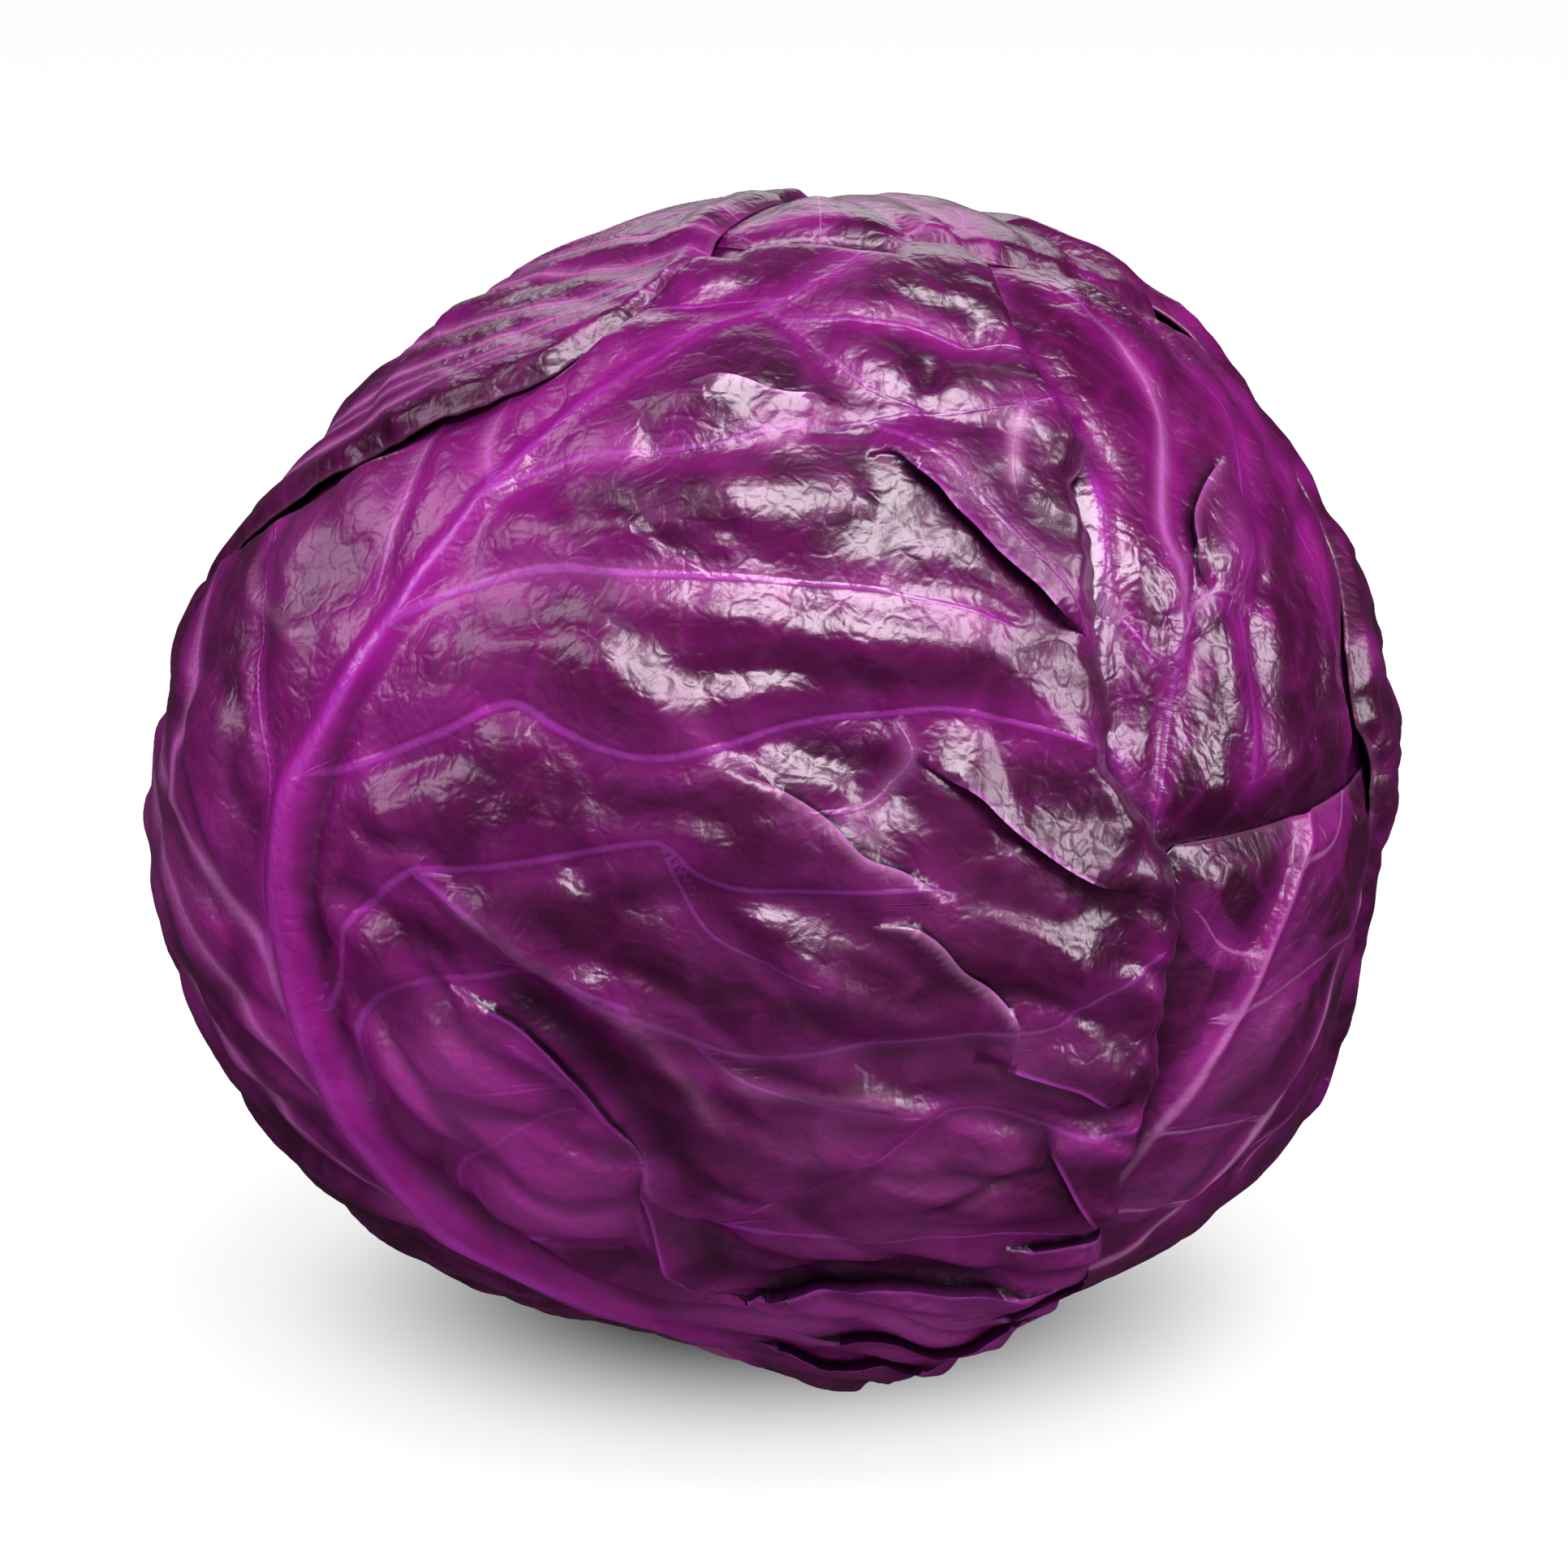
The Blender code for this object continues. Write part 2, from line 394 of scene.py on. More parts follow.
@dataclass(frozen=True)
class Leaf:
    """One wrapped leaf: margins, midrib and rib as rows from base to tip, and what is drawn on it."""

    name: str
    slot: str
    chart: Chart
    left: Path  # (y, x) of the left margin
    right: Path
    midrib: Path
    rib: Path  # (y, height in millimetres)
    rib_width: Path  # (y, half width in degrees)
    marks: tuple[Mark, ...] = ()
    spots: tuple[Spot, ...] = ()
    swell: float = 1.7  # how far the blade bulges between veins, in millimetres
    valley_width: float = 4.2
    crumple: float = 0.8  # height of the folds along the grain, in millimetres
    grain: tuple[float, float] = (30.0, 0.0)  # climb of the folds in degrees, and its gain with y
    ruffle: float = 0.8  # waves of the margin, in degrees
    curl: Path = ((-90, 0.4), (90, 0.4))  # (y, lift of the margin in millimetres)
    rows: int = 200
    columns: int = 200
    left_share: float = 0.5  # share of the columns on the left of the midrib
    seed: int = 1

    def ends(self) -> tuple[float, float]:
        """The y of the base and of the tip."""
        return self.left[0][0], self.left[-1][0]

    def past(self, d: Array) -> Array:
        """How far outside the leaf's outline a direction lies: the farthest past any margin.

        Args:
            d: unit directions.

        Returns:
            Degrees past the outline, negative inside it.
        """
        x, y = self.chart.place(d)
        base, tip = self.ends()
        sides = np.maximum(through(self.left, y) - x, x - through(self.right, y))
        return np.maximum(sides, np.maximum(base - y, y - tip))

    def rib_height(self, x: Array, y: Array) -> Array:
        """Height of the midrib in metres: a bell across it, along it as the rib's rows say."""
        away = (x - through(self.midrib, y)) / through(self.rib_width, y)
        return np.maximum(through(self.rib, y), 0) * np.exp(-(np.abs(away) ** 2.4)) * MM

    def midrib_mark(self) -> Mark:
        """The midrib as a line, which holds the blade's swell down beside it."""
        path = tuple((x, y) for y, x in self.midrib)
        return Mark(Kind.VEIN, 0.0, 2.3, path, valley=0.75, thin=0.9, tilt=0.0)

    def snap(self, x: Array, y: Array, shape: tuple[int, int]) -> tuple[Array, Array]:
        """Moves the grid places beside each lip onto its edge, so that the edge runs smooth.

        A place moves where the edge passes between it and a neighbour: onto the edge from above
        and to just under it from below.

        Args:
            x: chart places to the right.
            y: chart places upwards.
            shape: rows and columns of the grid.

        Returns:
            The moved places.
        """
        x, y = x.copy(), y.copy()
        for mark in self.marks:
            if mark.kind is Kind.LIP:
                s, t, nx, ny = mark.measure(x, y)
                up = (s > 0).reshape(shape)
                beside = np.zeros(shape, bool)
                for here, there in ((beside, up), (beside.T, up.T)):
                    change = there[1:] != there[:-1]
                    here[1:] |= change
                    here[:-1] |= change
                moved = beside.ravel() & (np.abs(s) < SNAP_REACH) & (t > 0.02) & (t < 0.98)
                move = (s + 2 * EDGE * (s < 0)) * moved
                x -= nx * move
                y -= ny * move
        return x, y

    def crumpled(self, x: Array, y: Array) -> tuple[Array, Array]:
        """Folds of the blade along its grain, which climbs away from the midrib on both sides.

        Args:
            x: chart places to the right.
            y: chart places upwards.

        Returns:
            Height in millimetres, and how dark the creases are painted, as painted shade.
        """
        away = x - through(self.midrib, y)
        climb = np.where(away < 0, max(self.grain[0], LEFT_CLIMB), self.grain[0] + self.grain[1] * y)
        turn = np.radians(climb)
        along = np.abs(away) * np.cos(turn) + y * np.sin(turn) + OTHER_SIDE * (away < 0)
        across = y * np.cos(turn) - np.abs(away) * np.sin(turn)
        bent = across + 1.2 * np.sin(along / 4 + self.seed) + 0.6 * np.sin(across / 1.9 + along / 2.7)
        broad = folds(along, across, 26, 10, self.seed + 200)
        quilt = pillows(along + 0.8 * np.sin(across / 2.3), bent, 17, 8, self.seed + 300)
        fine = pillows(along, bent, 6.5, 3.6, self.seed + 400)
        total = 0.7 * broad + 0.9 * quilt + 0.12 * fine - 0.3
        share = self.crumple * (0.2 + 0.8 * smoothstep(np.abs(away) / 12))
        share = share * (1 + 0.5 * smoothstep((14 - y) / 12))
        # the second value is painted shade in the creases between pillows
        return total * share, 0.4 * share * (1 - smoothstep(quilt / 0.6))

    def add_vein(self, made: Form, mark: Mark, near: Array, s: Array, t: Array, rise: Array) -> None:
        """Adds a vein: a narrow bell that thins out, a tilted step across it, and a valley.

        Args:
            made: the form to add to.
            mark: the vein.
            near: which places it can reach.
            s: those places' distance from it.
            t: their share of the way along it.
            rise: how much of it stands up there, from 0 to 1.
        """
        width = mark.width * (1 - mark.thin * t)
        cord = np.exp(-((s / np.maximum(width, NARROWEST)) ** 2))
        made.lift[near] += mark.height * (0.5 - 0.3 * t) * cord
        step = np.tanh(s / 0.9) * np.exp(-np.abs(s) / 5) * rise
        made.lift[near] += mark.tilt * (step + 0.5 * np.abs(step))
        far_end = smoothstep((1 - t) / 0.25)
        valley = np.exp(-((np.abs(s) / self.valley_width) ** 1.4))
        made.held[near] *= 1 - mark.valley * far_end * valley
        closer = np.abs(s) / width < made.nearest[near]
        at = np.flatnonzero(near)[closer]
        made.nearest[at] = np.abs(s[closer]) / width[closer]
        made.line[at] = np.clip(s[closer] / width[closer], -FAR, FAR)
        made.near[at] = smoothstep(1.25 - np.abs(s[closer]) / width[closer] / 4)
        made.across[at] = np.abs(s[closer])
        made.along[at] = t[closer] * VEIN_LENGTH

    def add_lip(self, made: Form, mark: Mark, near: Array, s: Array, ends: Array, rise: Array) -> Array:
        """Adds a lip: a step that fades away from its edge and leans out over the lower side.

        Args:
            made: the form to add to.
            mark: the lip.
            near: which places it can reach.
            s: those places' distance from its edge.
            ends: 1 along most of it, falling to 0 at both ends.
            rise: the same where the leaf shows.

        Returns:
            Degrees that the places move away from the lip's high side.
        """
        high = np.where(s > -EDGE, np.exp(-np.maximum(s, 0) / 7.0), 0.0)
        made.lift[near] += mark.height * rise * high
        # a painted highlight along the lip's edge, and painted shadow on its low side under it
        edge = np.exp(-((s / 0.5) ** 2)) * (s > -EDGE)
        lip_shadow = np.exp(-((s / (mark.width + 0.6)) ** 2)) * (s <= -EDGE)
        made.deep[near] = np.maximum(made.deep[near], mark.deep * ends * lip_shadow)
        made.pale[near] = np.maximum(made.pale[near], mark.pale * ends * edge)
        crease = np.where(s > -EDGE, 1.0, -1.0) * (np.abs(s) + (1 - ends) * 1.5)
        closer = np.abs(crease) < np.abs(made.crease[near])
        made.crease[near] = np.where(closer, crease, made.crease[near])
        return np.exp(-np.maximum(s, 0) / 1.6) * (s > -EDGE) * rise * mark.width

    def add_mark(self, made: Form, mark: Mark, x: Array, y: Array, shown: Array) -> None:
        """Adds one drawn line: a ridge is a pointed crest, a groove a bell downwards.

        Args:
            made: the form to add to.
            mark: the line.
            x: chart places to the right.
            y: chart places upwards.
            shown: 1 where the leaf shows, falling to 0 under the leaves above it.
        """
        reach = MARK_REACH + mark.width
        px, py = np.array(mark.path, float).T
        near = (x > px.min() - reach) & (x < px.max() + reach)
        near &= (y > py.min() - reach) & (y < py.max() + reach)
        if not near.any():
            return
        s, t, nx, ny = mark.measure(x[near], y[near])
        ends = smoothstep(t / 0.2) * smoothstep((1 - t) / 0.2)
        rise = ends * shown[near]
        if mark.kind is Kind.LIP:
            lean = self.add_lip(made, mark, near, s, ends, rise)
            made.shift_x[near] -= nx * lean
            made.shift_y[near] -= ny * lean
            return
        bell = np.exp(-((s / mark.width) ** 2))
        if mark.kind is Kind.VEIN:
            self.add_vein(made, mark, near, s, t, rise)
        elif mark.kind is Kind.RIDGE:
            made.lift[near] += mark.height * rise * np.exp(-(np.sqrt(s**2 + 0.8) - 0.9) / mark.width)
        else:
            made.lift[near] -= mark.height * rise * bell
        # whitish paint along the line: a vein's own paler colour, a painted highlight on a ridge's crest; and
        # painted shade along a groove
        whitish = 0.6 * mark.pale * ends * np.exp(-((s / 0.7) ** 2))
        made.pale[near] = np.maximum(made.pale[near], whitish)
        made.deep[near] = np.maximum(made.deep[near], mark.deep * ends * bell)

    def form(self, x: Array, y: Array, shown: Array) -> Form:
        """Adds up the leaf's marks and spots, and the swell that the veins leave.

        Args:
            x: chart places to the right.
            y: chart places upwards.
            shown: 1 where the leaf shows, falling to 0 under the leaves above it.

        Returns:
            The sum at each place.
        """
        made = Form.blank(len(x))
        for mark in (self.midrib_mark(), *self.marks):
            self.add_mark(made, mark, x, y, shown)
        for spot in self.spots:
            weight = spot.weigh(x, y)
            made.lift += spot.height * weight * shown
            # each spot's painted shade, whitish bloom with painted sheen, and lighter tone
            made.deep = np.maximum(made.deep, spot.deep * weight)
            made.bloom_and_sheen = np.maximum(made.bloom_and_sheen, spot.bloom_and_sheen * weight)
            made.bright = np.maximum(made.bright, spot.bright * weight)
        made.lift += self.swell * made.held * shown
        return made


# ---------------------------------------------------------------- the leaves, from the inside out

VEIN, RIDGE, GROOVE, LIP = Kind.VEIN, Kind.RIDGE, Kind.GROOVE, Kind.LIP


def fan(
    left: Path, right: Path, midrib: Path, roots: tuple[float, ...], rise: float, seed: int
) -> tuple[Mark, ...]:
    """Side veins that leave the midrib in turn on both sides and bend up towards the margins.

    Each path runs from the midrib at its root to nine tenths of the way to the margin, rising
    by the given degrees, faster at the end than at the start.

    Args:
        left: left margin as (y, x) rows.
        right: right margin.
        midrib: midrib.
        roots: y of each pair of side veins where it leaves the midrib.
        rise: degrees that a side vein climbs.
        seed: which small irregularities.

    Returns:
        Two veins for each root.
    """
    random = np.random.default_rng(seed)
    t = np.linspace(0, 1, 5)
    made = []
    for root in roots:
        for margin in (left, right):
            y = root + random.uniform(-2, 2) + (rise + random.uniform(-4, 4)) * t**1.35
            middle = through(midrib, y)
            x = middle + (through(margin, y) - middle) * 0.92 * t**0.9 + random.uniform(-1.2, 1.2, 5) * t
            made.append(Mark(VEIN, 0.5, 0.5, tuple(zip(x, y))))
    return tuple(made)


CROWN_LEFT = ((-46, -12), (-32, -30), (0, -42), (30, -34), (44, -12))
CROWN_RIGHT = ((-46, 12), (-32, 30), (0, 42), (30, 34), (44, 12))
CROWN_MIDRIB = ((-46, 0), (44, 0))

BACK_LEFT = ((-90, -12), (-70, -30), (-40, -48), (0, -56), (40, -52), (70, -42), (84, -25), (90, -14))
BACK_RIGHT = ((-90, 12), (-70, 30), (-40, 50), (0, 60), (40, 54), (70, 36), (90, 4))
BACK_MIDRIB = ((-90, 0), (-50, 2), (0, 0), (50, -3), (90, -6))

RIB_WIDTH = ((-90, 5.0), (-60, 4.2), (-20, 2.6), (40, 1.6), (90, 1.2))

FAR_RIGHT_LEFT = (
    (-80, -12), (-66, -25), (-46, -37), (-26, -45), (-6, -50),
    (6, -51), (16, -48), (28, -32), (45, -16), (60, 0),
)
FAR_RIGHT_RIGHT = ((-80, 12), (-66, 22), (-46, 31), (-20, 38), (10, 40), (38, 36), (60, 20))
FAR_RIGHT_MIDRIB = ((-80, 0), (-50, 3), (-10, 0), (25, 4), (60, 10))

FAR_LEFT_LEFT = ((-90, -12), (-70, -25), (-40, -32), (0, -37), (40, -38), (62, -26), (76, 0))
FAR_LEFT_RIGHT = (
    (-90, 12), (-70, 22), (-45, 30), (-20, 34), (0, 34), (14, 36), (20, 40), (30, 45), (40, 47.5), (52, 50),
    (62, 46), (70, 38), (76, 24),
)
FAR_LEFT_MIDRIB = ((-90, 0), (-50, -4), (-10, -4), (30, 2), (60, 10), (76, 12))

LEAVES = (
    Leaf(
        "crown_leaf", "inner_leaf", Chart(25, 72), CROWN_LEFT, CROWN_RIGHT, CROWN_MIDRIB,
        rib=((-46, 0.0), (44, 0.0)), rib_width=((-46, 3), (44, 3)),
        marks=fan(CROWN_LEFT, CROWN_RIGHT, CROWN_MIDRIB, (-30, -10, 10), 16, 3),
        rows=100, columns=100, seed=11,
    ),
    Leaf(
        "right_upper_leaf", "glossy_leaf", Chart(55, 25),
        left=((-98, -9), (-75, -26), (-40, -52), (0, -60), (35, -52), (52, -38), (62, -16)),
        right=((-98, 9), (-75, 24), (-40, 46), (0, 56), (35, 50), (52, 36), (62, 16)),
        midrib=(
            (-98, 0), (-40, -10), (-15, -22), (0, -22.5), (9, -18),
            (16.5, -13.5), (24, -11), (45, -9), (62, -4),
        ),
        rib=((-98, 0.0), (-16, 0.0), (-2, 0.9), (12, 0.6), (28, 0.2), (62, 0.0)),
        rib_width=((-98, 2), (62, 1.2)),
        marks=(
            Mark(VEIN, 0.9, 0.8, ((-14, -1), (-12.5, 2.5), (-11, 6), (-10.5, 9.5), (-7, 13.5), (-3.5, 16.5),
                 (-1, 19), (1, 26), (2, 34)), pale=0.5),
            Mark(VEIN, 0.5, 0.5, ((-14, 0), (-9.5, 3.5), (-5, 2.5), (-2, 0.5))),
            Mark(VEIN, 0.5, 0.5, ((-14, 0), (-16.5, -5), (-18.5, -9), (-21, -15), (-24, -24))),
            Mark(VEIN, 0.7, 0.6, ((-9, -12), (-7, -6), (-5.5, -1), (-4, 3), (0, 6), (3.5, 9.5), (6, 12),
                 (10.5, 18.7), (10.5, 22.5), (14, 30), (17, 40))),
            Mark(LIP, 1.4, 0.6, ((4, 14), (-2, 12), (-7, 9), (-8, 6.5), (-8.5, 3.5)), deep=0.8, pale=0.2),
            Mark(RIDGE, 1.0, 1.6, ((-2, 34), (0, 29), (2, 24.5), (1.5, 20.5))),
            Mark(LIP, 0.8, 0.5, ((-10, 21.5), (-13.5, 23), (-16.5, 23.5)), deep=0.7),
            Mark(VEIN, 0.4, 0.4, ((-20, 7), (-18, 3), (-16.5, 0), (-14, -1))),
            Mark(VEIN, 0.4, 0.4, ((10, -34), (10, -12), (12, 4), (16, 16), (20, 26), (22, 36))),
            Mark(VEIN, 0.4, 0.4, ((16, -34), (16, -10), (20, 6), (24, 20), (27, 32))),
            Mark(VEIN, 0.4, 0.4, ((22, -34), (25, -10), (30, 8), (34, 22), (36, 32))),
            Mark(VEIN, 0.4, 0.4, ((30, -34), (36, -10), (42, 6), (46, 18))),
            Mark(VEIN, 0.3, 0.4, ((-20, 12), (-24, 20), (-28, 34))),
            Mark(VEIN, 0.3, 0.4, ((-11, 27), (-16, 36), (-22, 46))),
            Mark(VEIN, 0.3, 0.4, ((-10, 36), (0, 42), (12, 52))),
        ),
        spots=(
            Spot(-13, 9, 7, 3.4, 70, 0.9), Spot(-9, -5, 6, 4, 80, 1.3), Spot(-2, -3, 5, 2, 70, 0.7),
            Spot(4, 2, 9, 4, 75, -1.2, deep=0.25), Spot(-17, -8, 8, 3, 80, -0.8, deep=0.3),
            Spot(-2, 8, 6, 3, 60, 0.9, bloom_and_sheen=0.3),
        ),
        swell=1.6, valley_width=3.4, crumple=0.55, grain=(66, 0.0), rows=216, columns=216, seed=12,
    ),
    Leaf(
        "right_lower_leaf", "ribbed_leaf", Chart(70, -15),
        left=((-60, -14), (-45, -30), (-20, -44), (0, -48), (16, -42), (20, -37), (22, -34)),
        right=((-60, 12), (-45, 27), (-20, 40), (0, 44), (14, 40), (22, 31), (25.5, 20)),
        midrib=((-60, -4), (-35, -26), (-15, -33), (-7, -32.5), (1, -29.5), (9, -25), (18, -19), (25, -14)),
        rib=((-60, 0), (-24, 0), (-8, 0.9), (5, 1.3), (25, 0.8)), rib_width=((-60, 2), (25, 1.2)),
        marks=(
            Mark(VEIN, 1.2, 1.3, ((-24, -26), (-20, -15), (-16.5, -7), (-13, -2), (-10.5, 2.5), (-7, 7),
                 (-3.5, 12.5), (-1, 19), (1, 25)), pale=0.75, thin=0.3),
            Mark(VEIN, 0.4, 0.5, ((-28.5, 5.5), (-23.5, 6.3), (-17.5, 8), (-9.5, 8.6), (-4, 8))),
            Mark(VEIN, 0.4, 0.5, ((-19, 18), (-14, 18.5), (-10.5, 20), (-6, 23))),
            Mark(VEIN, 0.3, 0.4, ((-33, -6), (-28, -6), (-21.5, -6), (-15, -7))),
            Mark(VEIN, 0.4, 0.5, ((-30, -16), (-27, -15.5), (-21, -15.5), (-15, -12), (-8, -8))),
            Mark(VEIN, 0.3, 0.4, ((-24, 10.5), (-29, 12), (-33, 16))),
            Mark(VEIN, 0.5, 0.6, ((-12, -14), (-5, -6), (0, 0), (5, 8), (9, 17)), pale=0.4),
            Mark(VEIN, 0.4, 0.5, ((0, -22), (8, -12), (14, 0), (19, 12), (22, 20)), pale=0.3),
            Mark(VEIN, 0.4, 0.5, ((8, -32), (18, -18), (26, -2), (30, 12)), pale=0.3),
        ),
        spots=(
            Spot(-24, 2, 9, 3, 60, 0.8, bloom_and_sheen=0.5), Spot(-15, 14, 6, 4, 60, 0.8),
            Spot(-26, -12, 8, 4, 50, 0.7, bloom_and_sheen=0.5),
        ),
        swell=1.2, valley_width=3.2, curl=((-60, 0.1), (26, 0.1)), crumple=0.5, grain=(60, 0.0),
        rows=200, columns=200, seed=13,
    ),
    Leaf(
        "front_leaf", "front_leaf", Chart(-38, 5),
        left=((-80, -14), (-64, -40), (-40, -62), (0, -76), (35, -68), (62, -46), (76, -22), (82, -4)),
        right=(
            (-80, 20), (-73, 33), (-57, 50), (-47, 62), (-36, 67), (-28, 69.5), (-15, 72), (0, 73), (9, 71.5),
            (12, 70), (15.5, 66.5), (18, 64.5), (22, 64.3), (27, 63), (32, 61), (36, 60), (40, 58.3),
            (44, 57), (47, 55.6), (50, 56.2), (52, 56.0), (54.5, 53.6), (58, 50.5), (62, 47.5), (66, 44.5),
            (71.5, 41), (76, 36.5), (79, 31.5), (82, 22),
        ),
        midrib=(
            (-80, 6), (-56, 19), (-44, 16), (-37, 5), (-24, -3), (-10, -8), (2, -10), (14, -5), (28, 1),
            (36, 4), (42, 7), (50, 13.5), (55, 16), (64, 23), (82, 24),
        ),
        rib=(
            (-80, 0.8), (-60, 3.2), (-40, 4.0), (-10, 3.2), (20, 1.9), (40, 1.0), (50, 0.7), (60, 0.3),
            (82, 0),
        ),
        rib_width=(
            (-80, 6.0), (-55, 6.4), (-42, 6.2), (-30, 4.6), (-18, 3.6), (-5, 2.8), (20, 1.9), (50, 1.4),
            (82, 1.2),
        ),
        marks=(
            # to the right of the midrib, from the top down
            Mark(VEIN, 0.6, 0.55, ((3, 34), (8, 38), (15, 40), (21, 41.5), (25, 43), (28.5, 45), (32, 46.5),
                 (35, 48), (39, 50), (43, 51), (47, 53), (50, 55))),
            Mark(VEIN, 0.7, 0.65, ((-1, 22), (3, 25), (7, 27), (12, 28.6), (20, 29.3), (30, 30.5), (40, 31.5),
                 (47, 31), (52, 30)), pale=0.25),
            Mark(VEIN, 0.7, 0.6, ((-6, 8), (-2, 9.5), (3, 12), (8, 14.5), (13, 17.3), (17, 16), (22, 14.6),
                 (27, 14.6), (31, 16), (36, 18.5), (40, 20), (45, 21), (49, 21.8), (55, 21), (62, 19.5)),
                 thin=0.4, tilt=0.5),
            Mark(VEIN, 0.6, 0.55, ((-4, -12), (-3, -8), (-1, -4), (3, 0), (6, 2), (10, 2.7), (15, 4),
                 (20, 5.5), (25, 7), (28, 7.5), (31, 5.5), (34, 4.5), (40, 4.7), (45, 5.2), (50, 5.5)),
                 thin=0.4, tilt=0.6),
            Mark(VEIN, 0.3, 0.4, ((28, 7.5), (30, 3.5), (32.5, 0.3), (36, -1.5), (41, -3))),
            Mark(VEIN, 0.6, 0.55, ((-1, -20), (-1.5, -15), (0, -11.5), (3, -9.3), (8, -7.2), (13, -6),
                 (20, -4.7), (26, -6.5)), thin=0.3, tilt=0.7),
            Mark(VEIN, 0.8, 0.55, ((6.5, 1.5), (11, -0.5), (16, -3.5), (22, -6), (28, -8.2), (31, -9.7),
                 (36, -10.7), (41, -10), (45, -9.5), (50, -9), (57, -8.5), (61, -8), (64, -6), (68, -4),
                 (70.5, -2)), pale=0.2, thin=0.2, tilt=1.1),
            Mark(RIDGE, 1.4, 1.4, ((13, -3.4), (18, -3.8), (23, -6), (27, -9.5), (31, -14.5), (34, -20)),
                 pale=0.15),
            Mark(VEIN, 0.9, 0.5, ((6, -29), (6.7, -27), (8, -25), (11.5, -22.5), (15.5, -19.5), (19, -17.8),
                 (24, -17.4))),
            Mark(VEIN, 1.5, 0.6, ((16, -12), (20, -15), (23, -18), (25.5, -21), (26, -24.5), (28, -27.5),
                 (31, -28), (35, -27), (39, -25.3), (44, -22.5), (48, -20), (50.5, -17.5), (55, -17),
                 (60, -19.5), (64.5, -21.5), (70, -22)), pale=0.1, thin=0.2, tilt=1.5),
            Mark(VEIN, 1.1, 0.55, ((28, -27.5), (32, -29.5), (36, -30.5), (41, -31.3), (46, -32), (51, -32.5),
                 (56, -33.5), (63, -36))),
            Mark(VEIN, 0.8, 0.45, ((11, -34.5), (15.5, -34), (19, -34), (24, -33.5))),
            Mark(VEIN, 0.3, 0.35, ((31, -10), (33, -12), (36, -13.5), (38.5, -14.5), (42, -15.5), (46, -16),
                 (50.5, -16.8)), pale=0.2),
            Mark(VEIN, 1.1, 0.55, ((24, -29), (24, -34), (26, -36.5), (29.5, -40), (33, -42), (38, -43),
                 (44, -42.5), (52, -43)), tilt=1.6),
            Mark(LIP, 1.4, 0.2, ((52, 4.3), (50, 5.3), (47, 7), (44, 8), (41, 10.8), (38.5, 12.3), (35, 13.8),
                 (33, 14.6)), pale=0.5, deep=0.75),
            Mark(VEIN, 0.4, 0.4, ((40.5, 11.5), (42.5, 12), (44.5, 12.8), (46, 15), (47, 17), (45, 20.5)),
                 pale=0.3),
            Mark(LIP, 1.1, 0.2, ((58, -9.5), (57.5, -8.2), (56.5, -6), (55, -4), (52.5, -2), (50, 1),
                 (48.5, 2), (45, 2.2)), pale=0.5, deep=0.7),
            Mark(VEIN, 0.4, 0.4, ((8, 57), (12.5, 58.5), (16, 60), (20, 60.5))),
            Mark(VEIN, 0.4, 0.45, ((19, 60), (23, 58), (25, 57), (29, 54.5), (31.5, 53), (34.5, 51.5),
                 (39, 50.5))),
            Mark(VEIN, 0.4, 0.45, ((23, 58.5), (30, 60), (34, 61), (39.5, 60.5), (43, 61.5), (47, 61))),
            Mark(VEIN, 0.3, 0.4, ((36, 48), (43, 45), (47.5, 41.5), (51, 38.5), (56, 35), (60, 31)),
                 valley=0.2),
            Mark(VEIN, 0.3, 0.4, ((48, 54), (48.5, 48), (50, 43)), pale=0.7, valley=0.3),
            Mark(VEIN, 0.3, 0.35, ((7, -17), (12, -16), (18, -15.5), (22, -15)), valley=0.3),
            # to the left of it
            Mark(VEIN, 0.6, 0.5, ((-5.5, 25), (-6, 29), (-6.4, 33), (-8, 38), (-9, 42)), pale=0.6, thin=0.3),
            Mark(VEIN, 0.5, 0.45, ((3, 36), (0.5, 39), (-1, 43), (-3, 47)), pale=0.5, thin=0.3),
            Mark(VEIN, 0.4, 0.4, ((-12, -12), (-12.5, -4), (-12.5, 1), (-13, 7), (-16.5, 12.5), (-19, 17),
                 (-21, 22), (-25, 28))),
            Mark(VEIN, 0.8, 0.8, ((-10, -20), (-14, -8.5), (-20, -6), (-25, -3), (-30, 0), (-32.5, 5),
                 (-31.5, 9), (-34, 17), (-38, 24)), pale=0.6, thin=0.2),
            Mark(VEIN, 0.6, 0.6, ((-2, -33), (-10, -24), (-20, -14), (-30, -7), (-40, -3), (-52, 2)),
                 pale=0.5),
            Mark(VEIN, 0.6, 0.6, ((3, -42), (-6, -38), (-18, -28), (-30, -20), (-42, -14), (-54, -8)),
                 pale=0.5),
            Mark(VEIN, 0.5, 0.5, ((-30, 0), (-40, 2), (-50, 8), (-58, 18)), pale=0.5),
            Mark(RIDGE, 0.9, 1.0, ((-26, 26), (-22.5, 21.3), (-17, 20), (-13, 19), (-10, 18)), pale=0.35),
            # where it folds over itself
            Mark(LIP, 0.9, 0.5, ((32, 49.3), (27, 47.7), (24, 48), (18.5, 47)), deep=0.8, pale=0.3),
            Mark(LIP, 2.2, 0.9, ((36, 44), (38.5, 45), (41, 43.7), (44, 42), (47, 39.5), (50, 37), (54, 34.5),
                 (58, 31.5), (61, 29.5)), deep=1.0),
            Mark(LIP, 2.0, 0.9, ((46.5, 17.5), (49, 16.5), (52.5, 15), (55.5, 12.5), (58, 10.5), (61.5, 8),
                 (65.5, 6), (68, 5)), deep=1.0, pale=0.1),
            Mark(LIP, 0.9, 0.2, ((26.5, -24), (25.7, -22), (24, -18.5), (20, -14), (17, -10.4), (12, -8),
                 (9, -7)), deep=0.35),
